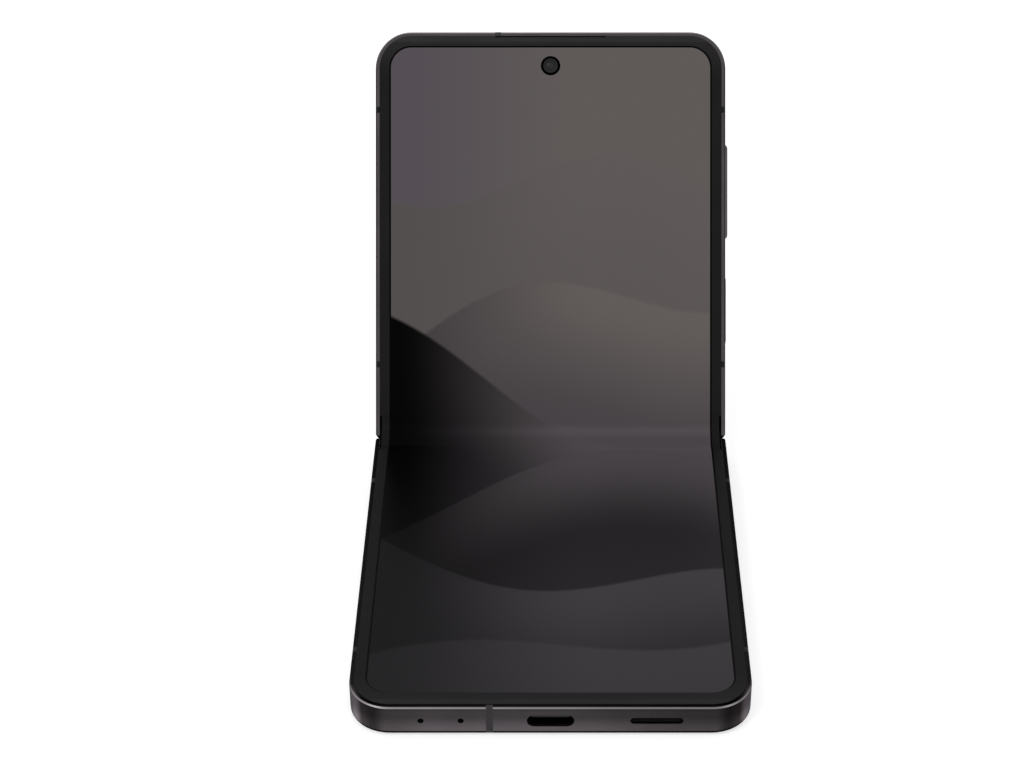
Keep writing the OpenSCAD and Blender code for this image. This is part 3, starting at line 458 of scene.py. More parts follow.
def frameMaterial(name, upper):
    look = frameLook
    material, tree, shader = grained(
        name, look["metal"], look["rough"], 1.0, look["grain"], 0.1, 0.05, 0.003, upper,
        Specular_Tint=look["edgeTint"][upper], Specular_IOR_Level=0
    )
    parts = addNode(tree, "ShaderNodeSeparateXYZ", {0: placeOn(tree, upper)}).outputs
    side = calc(tree, "ABSOLUTE", parts[0])
    end = calc(tree, "ABSOLUTE", calc(tree, "SUBTRACT", parts[1], foldY / mm))
    height = parts[2]
    top = (rimZ - backZ) / mm
    plain = shader.inputs["Base Color"].links[0].from_socket
    if not upper:
        atEnd = fade(tree, end, halfLong / mm - 7, halfLong / mm - 2)
        # painted reflection: the far wall grows lighter towards the floor
        foot = fade(tree, height, 4.6, 1.2, 0, look["foot"] - 1)
        shade = calc(tree, "MULTIPLY_ADD", calc(tree, "MULTIPLY", foot, atEnd), 1.0, 1.0)
        # painted shade and highlight in bands round the far corners
        cornerPaintedShade = calc(tree, "MULTIPLY", hump(tree, side, *look["cornerPaintedShade"]), atEnd)
        cornerPaintedHighlight = calc(tree, "MULTIPLY", hump(tree, side, *look["cornerPaintedHighlight"]), atEnd)
        shade = calc(tree, "MULTIPLY", shade, calc(tree, "ADD", calc(tree, "SUBTRACT", 1.0, cornerPaintedShade), cornerPaintedHighlight))
        # painted shade: the far wall darker towards both sides and towards its top
        left = fade(tree, parts[0], -32, -20, look["left"], 1)
        paintedFalloff = calc(tree, "MULTIPLY", left, fade(tree, parts[0], -6, 28, 1, look["right"]))
        paintedFalloff = calc(tree, "MULTIPLY", paintedFalloff, fade(tree, height, 5.3, 6.0, 1, 0.84))
        shade = calc(tree, "MULTIPLY", shade, fade(tree, atEnd, 0, 1, 1, paintedFalloff))
        # painted shade: a black band along the foot of the far wall, where the metal is also turned off
        lit = calc(tree, "SUBTRACT", 1.0, calc(tree, "MULTIPLY", fade(tree, height, 1.1, 0.92), atEnd))
        shade = calc(tree, "MULTIPLY", shade, lit)
        feed(tree, shader, "Metallic", lit)
        plain = tint(tree, plain, shade)
    # painted light and shade on the rim's face
    face = calc(tree, "GREATER_THAN", height, top - 0.01)
    plain = tint(tree, plain, fade(tree, face, 0, 1, 1, look["rimLightAndShade"][upper]))
    # the chamfer's bright band: polished metal with a painted highlight
    over = calc(tree, "GREATER_THAN", height, top - look["chamfer"] * 1.02)
    under = calc(tree, "LESS_THAN", height, top - look["chamfer"] * (1 - look["chamferHighlightShare"]))
    line = calc(tree, "MULTIPLY", over, under)
    marks = noise(tree, placeOn(tree, upper, (1, 1, 14)), 0.5, 2)
    bright = mixColour(
        tree, marks, tuple(part * 0.85 for part in look["chamferMetalAndHighlight"]), look["chamferMetalAndHighlight"]
    )
    # painted highlight: brighter at the left, and a painted shade that fades it along the sides
    slope = fade(tree, parts[0], -25, 25, *look["chamferLightSlope"])
    along = fade(tree, end, halfLong / mm - 9, halfLong / mm - 3, look["sideChamferShade"], slope)
    feed(tree, shader, "Base Color", mixColour(tree, line, plain, tint(tree, bright, along)))
    return material


dress(frameMaterial("anodisedFrameLower", False), "lower_frame")
dress(frameMaterial("anodisedFrameUpper", True), "upper_frame")
print("frames done")

# Antenna breaks, back covers, cover screen

breakLook = {"end": (0.040, 0.037, 0.040), "sides": (0.004, 0.004, 0.004), "rough": 0.55}
for half in ("lower", "upper"):
    polymer, tree, shader = grained(
        half + "BreakPolymer", breakLook["end"], breakLook["rough"], 0, 0.1, 0.15, 0.05, 0.004,
        half == "upper", Specular_IOR_Level=0.15
    )
    parts = addNode(tree, "ShaderNodeSeparateXYZ", {0: placeOn(tree, half == "upper")}).outputs
    atSide = calc(tree, "GREATER_THAN", calc(tree, "ABSOLUTE", parts[0]), halfWide / mm - 2)
    plain = shader.inputs["Base Color"].links[0].from_socket
    feed(tree, shader, "Base Color", mixColour(tree, atSide, plain, breakLook["sides"]))
    dress(polymer, half + "_antenna_breaks")

# Back glass: bevelled sheets, with openings for the lens rings and the flash.

backLook = {
    "colour": (0.020, 0.020, 0.024),
    "rough": 0.22,
    "fleck": (0.060, 0.058, 0.068),
    "screen": (0.002, 0.002, 0.0025),
    "screenBorder": 0.6,
    "edge": 0.12 * mm,
    "farRound": 6.1 * mm,
    "hingeRound": 0.3 * mm,
    "holePlay": 0.03 * mm,
}


def backMaterial(name, upper):
    # Satin glass over a dark film with fine pearl flecks; the cover screen lies black behind the upper one.
    look = backLook
    material, tree, shader = grained(
        name, look["colour"], look["rough"], 0, 0.05, 0.08, 0.04, 0.0015, upper,
    )
    place = placeOn(tree, upper)
    flecks = addNode(tree, "ShaderNodeTexVoronoi", {"Vector": place, "Scale": 9.0}).outputs["Distance"]
    spark = calc(tree, "MULTIPLY", fade(tree, flecks, 0.05, 0.16, 1, 0), 0.45)
    plain = shader.inputs["Base Color"].links[0].from_socket
    speckled = mixColour(tree, spark, plain, look["fleck"])
    feed(tree, shader, "Base Color", speckled)
    if upper:
        low, high = flatBox("cover_display")
        middle, half = (low + high) / 2 / mm, (high - low) / 2 / mm
        parts = addNode(tree, "ShaderNodeSeparateXYZ", {0: place}).outputs
        corner = 4.5
        sides = []
        for i in (0, 1):
            side = calc(tree, "ABSOLUTE", calc(tree, "SUBTRACT", parts[i], middle[i]))
            side = calc(tree, "SUBTRACT", side, half[i] - look["screenBorder"] - corner)
            sides.append(calc(tree, "MAXIMUM", side, 0.0))
        away = calc(tree, "SQRT", calc(
            tree, "MULTIPLY_ADD", sides[0], sides[0], calc(tree, "MULTIPLY", sides[1], sides[1])))
        screen = fade(tree, away, corner - 0.05, corner + 0.05, 1, 0)
        feed(tree, shader, "Base Color", mixColour(tree, screen, speckled, look["screen"]))
        gloss = shader.inputs["Roughness"].links[0].from_socket
        links = {0: screen, 2: gloss, 3: 0.06}
        feed(tree, shader, "Roughness", addNode(tree, "ShaderNodeMix", links).outputs[0])
    return material


def addBack(name, node, body, material):
    look = backLook
    low, high = flatBox(node)
    sheet = plateBetween(name, low, high)
    roundCorners(sheet, look["farRound"], lambda place: abs(place.y - foldY) > halfLong / 2)
    roundCorners(sheet, look["hingeRound"], lambda place: abs(place.y - foldY) < halfLong / 8, 4)
    if body == "upper_half":
        for hole in ("lens_rings", "flash_window"):
            start, stop = flatBox(hole)
            radius = (stop.x - start.x) / 2
            x = (start.x + stop.x) / 2
            for y in {start.y + radius, stop.y - radius}:
                if hole == "lens_rings" or y > start.y + radius - mm / 10:
                    cutAway(sheet, addDisc("holeTool", radius + look["holePlay"], 3 * mm, (x, y, low.z)))
    softenEdges(sheet, look["edge"], 3, 60)
    coat(cleanUp(sheet, 12), material)
    return mount(sheet, body, "back_glass", node)


addBack("backGlassLower", "lower_back_cover", "lower_half", backMaterial("satinGlassLower", False))
addBack("backGlassUpper", "upper_back_cover", "upper_half", backMaterial("satinGlassUpper", True))

coverScreenLook = {"colour": (0.006, 0.006, 0.007), "rough": 0.07}
dress(
    grained("coverScreenGlass", coverScreenLook["colour"], coverScreenLook["rough"], 0, 0.6, 0.2,
            0.03, 0.0002, True, Coat_Weight=0.6, Coat_Roughness=0.03)[0],
    "cover_display",
)
print("covers done")

# Inner and small pieces

metalLook = {
    "steel": (0.42, 0.41, 0.41),
    "brass": (0.62, 0.44, 0.20),
    "foil": (0.33, 0.33, 0.34),
    "copper": (0.62, 0.27, 0.13),
    "nickel": (0.50, 0.48, 0.45),
    "spine": (0.055, 0.052, 0.056),
    "blackened": (0.012, 0.012, 0.012),
}
brushedNames = [
    "lower_wing_plate", "upper_wing_plate", "lower_screws", "upper_screws", "lower_hinge_arms",
    "upper_hinge_arms", "lower_sync_arm", "upper_sync_arm", "hinge_bases", "gear_block", "gear_pins",
    "board_shields", "tray_socket", "volume_switches", "power_switch", "vibration_motor", "microphones",
]
dress(
    grained("brushedSteel", metalLook["steel"], 0.32, 1, 0.3, 0.16, 0.08, 0.003, stretch=(0.06, 1, 1))[0],
    *brushedNames,
)
dress(
    grained("blackenedSteel", metalLook["blackened"], 0.4, 1, 0.2, 0.2, 0.08, 0.003)[0],
    "port_shell",
)
dress(
    grained("gearBrass", metalLook["brass"], 0.28, 1, 0.12, 0.12, 0.06, 0.003)[0],
    "upper_sync_gear", "upper_idler_gear", "lower_idler_gear", "lower_sync_gear",
)
dress(
    grained("cellFoil", metalLook["foil"], 0.35, 1, 1.6, 0.2, 0.1, 0.06)[0],
    "lower_battery", "upper_battery",
)
dress(grained("magnetNickel", metalLook["nickel"], 0.22, 1, 0.25, 0.08, 0.05, 0.002)[0],
      "lower_magnets", "upper_magnets")


def coilMaterial():
    # Flat copper coil: rings of enamelled wire round its middle.
    material, tree, shader = grained("coilCopper", metalLook["copper"], 0.3, 1, 0.1)
    low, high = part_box("charging_coil")
    middle = tuple(-part for part in (low + high) / 2)
    coords = addNode(tree, "ShaderNodeTexCoord").outputs["Object"]
    place = addNode(tree, "ShaderNodeMapping", {"Vector": coords, "Location": middle}).outputs[0]
    rings = addNode(
        tree, "ShaderNodeTexWave", {"Vector": place, "Scale": 0.32 / mm}, wave_type="RINGS",
        rings_direction="Z",
    ).outputs["Fac"]
    plain = shader.inputs["Base Color"].links[0].from_socket
    feed(tree, shader, "Base Color", mixColour(tree, rings, (0.10, 0.035, 0.015), plain))
    bumpOn(tree, shader, rings, 0.05, 0.6)
    return material


dress(coilMaterial(), "charging_coil")


def boardMaterial(name, upper):
    # Solder mask with copper tracks under it and small bright pads.
    material, tree, shader = grained(name, (0.010, 0.055, 0.030), 0.42, 0, 0.15, 0.12, 0.05, 0.003, upper)
    place = placeOn(tree, upper)
    cells = addNode(
        tree, "ShaderNodeTexBrick",
        {"Vector": place, "Color1": (0, 0, 0, 1), "Color2": (0.25, 0.25, 0.25, 1),
         "Mortar": (1, 1, 1, 1), "Scale": 1.0, "Mortar Size": 0.05, "Brick Width": 1.7, "Row Height": 0.6},
    ).outputs["Color"]
    pads = addNode(tree, "ShaderNodeTexVoronoi", {"Vector": place, "Scale": 0.9}).outputs["Distance"]
    plain = shader.inputs["Base Color"].links[0].from_socket
    tracked = mixColour(tree, calc(tree, "MULTIPLY", cells, 0.5), plain, (0.03, 0.12, 0.06))
    feed(tree, shader, "Base Color", mixColour(tree, fade(tree, pads, 0.2, 0.16), tracked, (0.55, 0.42, 0.2)))
    return material


dress(boardMaterial("boardMaskLower", False), "sub_board")
dress(boardMaterial("boardMaskUpper", True), "main_board")
dress(
    grained("mouldedPlastic", (0.014, 0.014, 0.015), 0.5, 0, 0.12, 0.2, 0.06, 0.006)[0],
    "loudspeaker", "port_tongue", "front_camera", "rear_cameras", "earpiece",
)


def meshMaterial(name, upper):
    # Woven wire mesh: two crossed rows of wires with dark gaps.
    material, tree, shader = newMaterial(name, (0.01, 0.01, 0.01), 0.5, 0.5, Specular_IOR_Level=0.1)
    place = placeOn(tree, upper)
    parts = addNode(tree, "ShaderNodeSeparateXYZ", {0: place}).outputs
    wires = []
    for part in (parts[0], parts[2]):
        wave = calc(tree, "SINE", calc(tree, "MULTIPLY", part, 2 * pi / 0.22))
        wires.append(fade(tree, wave, -0.2, 0.5))
    weave = calc(tree, "MAXIMUM", wires[0], wires[1])
    feed(tree, shader, "Base Color", mixColour(tree, weave, (0.001, 0.001, 0.001), (0.010, 0.010, 0.010)))
    bumpOn(tree, shader, weave, 0.05, 0.8)
    return material


dress(meshMaterial("speakerWeave", False), "speaker_mesh")
dress(meshMaterial("earpieceWeave", True), "earpiece_mesh")
dress(
    grained("spineMetal", metalLook["spine"], 0.3, 1, 0.25, 0.12, 0.05, 0.003, stretch=(0.05, 1, 1))[0],
    "spine_cover",
)
dress(
    grained("capPlastic", (0.020, 0.020, 0.021), 0.42, 0, 0.1, 0.2, 0.06, 0.005)[0],
    "spine_end_caps",
)
print("inner pieces done")

# Side keys: bars with round ends that stand out of the frame; the power key has a shallow dish.

keyLook = {
    "root": 1.5 * mm,  # how far the bars reach in behind the frame's face
    "flange": 0.5 * mm,  # the node's flange, which the bars leave out
    "volumeEdge": 0.38 * mm,
    "powerEdge": 0.07 * mm,
    "soft": 0.05 * mm,
    "seam": 0.02 * mm,  # the two quarter turns of a round end meet within it
    "dishRim": 0.3 * mm,
    "dishSlope": 0.15 * mm,
    "dish": 0.05 * mm,
}


def addKey(name, node, edge, dish):
    look = keyLook
    low, high = flatBox(node)
    low = Vector((halfWide - look["root"], low.y + look["flange"], low.z + look["flange"]))
    high = Vector((high.x - edge, high.y - look["flange"], high.z - look["flange"]))
    key = plateBetween(name, low, high)
    selectEdges(key, lambda place, way: abs(way.x) > 0.9)
    bpy.ops.mesh.bevel(offset=(high.z - low.z) * 0.499, segments=14, affect="EDGES")
    bpy.ops.mesh.select_all(action="SELECT")
    bpy.ops.mesh.remove_doubles(threshold=look["seam"])
    selectFaces(key, lambda place, way: way.x > 0.9)
    bpy.ops.mesh.inset(thickness=edge, depth=0)
    bpy.ops.transform.translate(value=(edge, 0, 0))
    leaveEdit()
    softenEdges(key, look["soft"], 2, 40)
    if dish:
        selectFaces(key, lambda place, way: way.x > 0.999 and place.x > high.x + edge - look["soft"] / 9)
        bpy.ops.mesh.inset(thickness=look["dishRim"], depth=0)
        bpy.ops.mesh.inset(thickness=look["dishSlope"], depth=0)
        bpy.ops.transform.translate(value=(-look["dish"], 0, 0))
        leaveEdit()
    return cleanUp(key, 30)


volumeKey = addKey("volumeKey", "volume_key", keyLook["volumeEdge"], False)
keyMetal = grained("keyMetal", (0.085, 0.078, 0.084), 0.3, 1, 0.07, 0.1, 0.05, 0.003, True)[0]
mount(coat(volumeKey, keyMetal), "volume_key", "frame_metal", "volume_key")
dress(keyMetal, "card_tray")
powerKey = addKey("powerKey", "power_key", keyLook["powerEdge"], True)
keyBlack = grained(
    "keyBlack", (0.005, 0.005, 0.0055), 0.4, 0, 0.3, 0.2, 0.08, 0.002, True, Specular_IOR_Level=0.04
)[0]
mount(coat(powerKey, keyBlack), "power_key", "key_black", "power_key")
print("keys done")

# Lenses: stepped stacks of barrel rings under a small dome, modelled once and copied.

lensLook = {
    "rearRadius": 4.53 * mm,
    "rearTop": 0.22 * mm,  # below the ring's top
    "rearDepth": 0.75 * mm,
    "rearSteps": [  # inset and sink, from the edge inwards
        (0.08 * mm, -0.02 * mm), (1.52 * mm, 0), (0.03 * mm, 0.16 * mm), (0.30 * mm, 0),
        (0.25 * mm, 0.10 * mm), (0.05 * mm, 0.08 * mm), (0.45 * mm, 0.06 * mm), (0.12 * mm, 0.04 * mm),
        (0.30 * mm, -0.11 * mm), (0.35 * mm, -0.07 * mm), (0.40 * mm, -0.03 * mm),
    ],
    "ringInner": 4.6 * mm,
    "ringEdge": 0.28 * mm,
    "eyeRadius": 1.95 * mm,
    "eyeDepth": 0.5 * mm,
    "eyeSteps": [
        (0.05 * mm, -0.01 * mm), (0.38 * mm, 0), (0.04 * mm, 0.06 * mm), (0.62 * mm, 0.08 * mm),
        (0.04 * mm, 0.04 * mm), (0.22 * mm, -0.07 * mm), (0.22 * mm, -0.04 * mm), (0.18 * mm, -0.02 * mm),
    ],
    "flashSteps": [
        (0.12 * mm, -0.03 * mm), (0.10 * mm, 0.08 * mm), (0.16 * mm, -0.08 * mm), (0.04 * mm, 0.08 * mm),
        (0.18 * mm, -0.08 * mm), (0.04 * mm, 0.08 * mm), (0.20 * mm, -0.08 * mm), (0.04 * mm, 0.08 * mm),
        (0.22 * mm, -0.08 * mm),
    ],
}
lensBlack = grained("lensSurround", (0.0025, 0.0025, 0.003), 0.08, 0, 1.2, 0.3, 0.02, 0.0002, True)[0]
lensBarrel = grained("lensBarrel", (0.020, 0.020, 0.022), 0.4, 0.4, 0.15, 0.2, 0.06, 0.003, True)[0]
lensStep = grained("lensStep", (0.10, 0.095, 0.10), 0.25, 1, 0.2, 0.1, 0.05, 0.002, True)[0]


def coatedLens():
    # Coated glass: a violet and green bloom that drifts over the dome.
    material, tree, shader = newMaterial(
        "coatedLens", (0.004, 0.004, 0.008), 0.05, 0, Coat_Weight=1.0, Coat_Roughness=0.02
    )
    drift = noise(tree, placeOn(tree, True), 1.6, 2)
    bloom = mixColour(tree, fade(tree, drift, 0.4, 0.6), (0.006, 0.004, 0.018), (0.003, 0.010, 0.012))
    feed(tree, shader, "Base Color", bloom)
    return material


lensGlass = coatedLens()
ringLow, ringHigh = flatBox("lens_rings")
ringRadius = (ringHigh.x - ringLow.x) / 2
rearX = (ringLow.x + ringHigh.x) / 2
rearYs = (ringHigh.y - ringRadius, ringLow.y + ringRadius)
rearCentre = Vector((rearX, rearYs[0], ringLow.z + lensLook["rearTop"]))
rearGlass = addStack(
    "rearLensFar", rearCentre, lensLook["rearRadius"], lensLook["rearDepth"], -1, lensLook["rearSteps"]
)
paintBands(rearGlass, rearCentre, [
    (1.05 * mm, lensGlass), (1.75 * mm, lensBarrel), (2.55 * mm, lensBarrel), (2.92 * mm, lensStep),
    (5 * mm, lensBlack),
])
ringMiddle = (rearX, rearYs[0], (ringLow.z + ringHigh.z) / 2)
lensRing = addDisc("lensRingFar", ringRadius, ringHigh.z - ringLow.z, ringMiddle, 128)
cutAway(lensRing, addDisc("ringTool", lensLook["ringInner"], 5 * mm, ringMiddle, 128))
cleanUp(softenEdges(lensRing, lensLook["ringEdge"], 6, 50), 12)
ringMetal = grained("ringMetal", (0.15, 0.14, 0.148), 0.2, 1, 0.2, 0.1, 0.04, 0.002, True)[0]
coat(lensRing, ringMetal)
for piece, node, slotName in ((rearGlass, "lens_windows", "lens_glass"), (lensRing, "lens_rings", "ring_metal")):
    twin = copyOf(piece, piece.name.replace("Far", "Near"))
    for vertex in twin.data.vertices:
        vertex.co.y += rearYs[1] - rearYs[0]
    mount(piece, "upper_half", slotName, node)
    mount(twin, "upper_half", slotName)

eyeLow, eyeHigh = flatBox("front_camera_window")
eyeCentre = Vector((0, (eyeLow.y + eyeHigh.y) / 2, eyeHigh.z))
eye = addStack(
    "frontLens", eyeCentre, lensLook["eyeRadius"], lensLook["eyeDepth"], 1, lensLook["eyeSteps"], 64
)
eyeGrey = grained("eyeBarrel", (0.0165, 0.0160, 0.0170), 0.4, 0, 0.15, 0.2, 0.06, 0.002, True,
                  Specular_IOR_Level=0.12)[0]
eyeBlack = grained("eyeSurround", (0.0006, 0.0006, 0.0006), 0.5, 0, 0.5, 0.2, 0.05, 0.0005, True,
                   Specular_IOR_Level=0)[0]
eyePupil = grained("eyePupil", (0.006, 0.006, 0.008), 0.12, 0, 0.4, 0.3, 0.03, 0.0005, True,
                   Specular_IOR_Level=0.3)[0]
paintBands(eye, eyeCentre, [(0.64 * mm, eyePupil), (1.46 * mm, eyeGrey), (5 * mm, eyeBlack)])
mount(eye, "upper_half", "lens_glass", "front_camera_window")

flashLow, flashHigh = flatBox("flash_window")
flashCentre = (flashLow + flashHigh) / 2
flashCentre.z = flashLow.z + 0.05 * mm
flash = addStack(
    "flashLens", flashCentre, (flashHigh.x - flashLow.x) / 2, 0.9 * mm, -1, lensLook["flashSteps"], 64
)
coat(flash, grained("flashPlastic", (0.72, 0.66, 0.44), 0.28, 0, 0.3, 0.06, 0.05, 0.01, True)[0])
mount(flash, "upper_half", "flash_plastic", "flash_window")
print("lenses done")

# Charging port: gold contacts on both faces of the tongue.

contactLook = {"pitch": 0.5 * mm, "count": 12, "wide": 0.25 * mm, "long": 3.2 * mm, "proud": 0.03 * mm,
               "fromTip": 0.5 * mm}


def addContacts():
    look = contactLook
    low, high = flatBox("port_tongue")
    first = -look["pitch"] * (look["count"] - 1) / 2
    pads = []
    pad = plateBetween(
        "portContacts",
        (first - look["wide"] / 2, low.y + look["fromTip"], low.z - look["proud"]),
        (first + look["wide"] / 2, low.y + look["fromTip"] + look["long"], high.z + look["proud"]),
    )
    softenEdges(pad, 0.02 * mm, 2, 60)
    for i in range(1, look["count"]):
        twin = copyOf(pad, "contactPad")
        for vertex in twin.data.vertices:
            vertex.co.x += i * look["pitch"]
        pads.append(twin)
    pick(pad, *pads)
    bpy.ops.object.join()
    return cleanUp(pad)


contacts = addContacts()
coat(contacts, grained("contactGold", (0.80, 0.55, 0.20), 0.22, 1, 0.1, 0.08, 0.05, 0.002)[0])
mount(contacts, "lower_half", "gear_brass")
print("port done")

# Screen: one film over both halves, modelled flat and cut at the spine's middle.

screenLook = {
    "wide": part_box("lower_display")[1].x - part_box("lower_display")[0].x,
    "end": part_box("lower_display")[0].y,
    "top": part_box("lower_display")[1].z,
    "thick": 0.55 * mm,
    "foldWide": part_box("display_fold")[1].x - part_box("display_fold")[0].x,
    "cornerRound": 5.0 * mm,
    "openX": 33.18 * mm,  # half width of the picture inside the bezel
    "openNear": 80.25 * mm,  # reach of the picture from the fold, lower and upper half
    "openFar": 81.12 * mm,
    "eyeHole": 2.02 * mm,
    "eyeFromEnd": 6.9 * mm,
}


def addScreen():
    look = screenLook
    long = 2 * (foldY - look["end"])
    film = addPlate(
        "screenFlat", (look["wide"], long, look["thick"]), (0, foldY, look["top"] - look["thick"] / 2)
    )
    roundCorners(film, look["cornerRound"])
    eyeY = foldY + halfLong - look["eyeFromEnd"]
    cutAway(film, addDisc("eyeTool", look["eyeHole"], 3 * mm, (0, eyeY, look["top"]), 64))
    addRows(film, lowerAxis.y - bendZone["reach"] * 1.2, foldY, bendZone["rows"])
    addRows(film, foldY, upperAxisFlat.y + bendZone["reach"] * 1.2, bendZone["rows"])
    return film


def putUv(obj):
    # The map runs across both halves: one unit is the screen's length.
    if not obj.data.uv_layers:
        obj.data.uv_layers.new(name="flatMap")
    layer = obj.data.uv_layers[0]
    layer.name = "flatMap"
    for loop in obj.data.loops:
        place = obj.data.vertices[loop.vertex_index].co
        layer.data[loop.index].uv = (
            0.5 + place.x / (2 * halfLong), 0.5 + (place.y - foldY) / (2 * halfLong)
        )


def foldMesh(obj):
    for vertex in obj.data.vertices:
        vertex.co = foldPoint(vertex.co)
    obj.data.update()


def foldPair(whole, lowerName, upperName, lowerNodes, upperNodes, smooth=35):
    lowerPiece = copyOf(whole, lowerName)
    keepSide(lowerPiece, foldY, -1)
    upperPiece = copyOf(whole, upperName)
    keepSide(upperPiece, foldY, 1)
    bpy.data.objects.remove(whole)
    for piece in (lowerPiece, upperPiece):
        cleanUp(piece, smooth)
        putUv(piece)
    for vertex in lowerPiece.data.vertices:
        vertex.co.y = min(vertex.co.y, foldY)
    foldMesh(lowerPiece)
    for vertex in upperPiece.data.vertices:
        vertex.co.y = max(vertex.co.y, foldY + 1e-9)
    foldMesh(upperPiece)
    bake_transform(lowerPiece)
    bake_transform(upperPiece)
    if lowerNodes:
        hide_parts(*lowerNodes)
        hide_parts(*upperNodes)
    return lowerPiece, upperPiece


wallpaper = {
    "light": 1.0,
    "ground": (0.114, 0.100, 0.097),  # warm grey sky at the top
    "side": (0.088, 0.076, 0.088),  # mauve towards the left
    # Each dune: height at the middle, slope, swell, place, crest and foot colours, and what is left of them
    # at the left edge.
    "dunes": [
        (0.31, -0.22, 0.060, 0.4, (0.112, 0.098, 0.098), (0.104, 0.091, 0.091), 0.84),
        (0.15, 0.26, 0.050, 2.1, (0.120, 0.105, 0.101), (0.064, 0.056, 0.061), 0.80),
        (0.05, -0.30, 0.045, 4.0, (0.068, 0.060, 0.065), (0.036, 0.032, 0.036), 0.01),
        (-0.10, 0.34, 0.050, 1.2, (0.062, 0.055, 0.060), (0.017, 0.015, 0.017), 0.16),
        (-0.26, -0.24, 0.050, 5.2, (0.044, 0.040, 0.044), (0.020, 0.018, 0.0205), 0.38),
        (-0.40, 0.18, 0.030, 3.0, (0.040, 0.0365, 0.040), (0.032, 0.029, 0.032), 0.42),
    ],
    "soft": 0.003,
    "foot": 0.17,
    "border": 0.35,
    "foldPaintedHighlight": 0.22,  # painted highlight: the picture is a little brighter along the bend
}


def wallpaperMaterial():
    look = wallpaper
    material, tree, shader = newMaterial(
        "screenFilm", (0.001, 0.001, 0.001), 0.3, 0, Specular_IOR_Level=0.012
    )
    uv = addNode(tree, "ShaderNodeUVMap", uv_map="flatMap").outputs[0]
    parts = addNode(tree, "ShaderNodeSeparateXYZ", {0: uv}).outputs
    across = calc(tree, "SUBTRACT", parts[0], 0.5)
    along = calc(tree, "SUBTRACT", parts[1], 0.5)
    picture = mixColour(tree, fade(tree, across, -0.19, 0.05), look["side"], look["ground"])
    for height, slope, swell, place, crest, foot, left in look["dunes"]:
        wave = calc(tree, "SINE", calc(tree, "MULTIPLY_ADD", across, 11.0, place))
        line = calc(tree, "MULTIPLY_ADD", wave, swell, calc(tree, "MULTIPLY_ADD", across, slope, height))
        below = calc(tree, "SUBTRACT", line, along)
        shade = mixColour(tree, fade(tree, below, 0, look["foot"]), crest, foot)
        dim = tuple(part * left for part in foot)
        shade = mixColour(tree, fade(tree, across, -0.19, 0.06), dim, shade)
        picture = mixColour(tree, fade(tree, below, -look["soft"], look["soft"]), picture, shade)
    # painted highlight along the bend
    picture = tint(tree, picture, calc(tree, "ADD", 1.0, hump(tree, along, 0.007, 0.013, look["foldPaintedHighlight"])))
    # a black margin where the picture ends, under the bezel's inner edge
    near, far = screenLook["openNear"] / (2 * halfLong), screenLook["openFar"] / (2 * halfLong)
    border = look["border"] * mm / (2 * halfLong)
    reachX = screenLook["openX"] / (2 * halfLong) - border
    reachY = (near + far) / 2 - border
    shifted = calc(tree, "SUBTRACT", along, (far - near) / 2)
    corner = 4.2 * mm / (2 * halfLong)
    sides = []
    for value, reach in ((across, reachX), (shifted, reachY)):
        side = calc(tree, "SUBTRACT", calc(tree, "ABSOLUTE", value), reach - corner)
        sides.append(calc(tree, "MAXIMUM", side, 0.0))
    distance = calc(tree, "SQRT", calc(
        tree, "MULTIPLY_ADD", sides[0], sides[0], calc(tree, "MULTIPLY", sides[1], sides[1])))
    inside = fade(tree, distance, corner + 0.0004, corner - 0.0002)
    picture = mixColour(tree, inside, (0.0008, 0.0008, 0.0008), picture)
    feed(tree, shader, "Emission Color", picture)
    shader.inputs["Emission Strength"].default_value = look["light"]
    grain = noise(tree, placeOn(tree, uv=True), 0.4, 2)
    feed(tree, shader, "Roughness", fade(tree, grain, 0.3, 0.7, 0.24, 0.3))
    return material


screenPair = foldPair(
    addScreen(), "screenLower", "screenUpper", ["lower_display"], ["upper_display", "display_fold"],
)
screenFilm = wallpaperMaterial()
for piece in screenPair:
    coat(piece, screenFilm)
print("screen done")

# Soft bezel: one raised strip round the screen that runs on through the fold.

bezelLook = {
    "outer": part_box("lower_bezel")[1].x,
    "end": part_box("lower_bezel")[0].y,
    "top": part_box("lower_bezel")[1].z,
    "thick": 0.25 * mm,
    "outerRound": 6.67 * mm,
    "innerRound": 4.5 * mm,
    "notch": 0.45 * mm,
    "slit": 0.3 * mm,  # earpiece slit along the upper end
    "notchReach": 5 * mm,
    "edge": 0.08 * mm,
    "stubX": 33.95 * mm,  # small rounded ends of the hinge cover in the bezel
    "stubY": 1.35 * mm,
    "stubSize": (0.75 * mm, 1.4 * mm),
    "stubProud": 0.05 * mm,
}


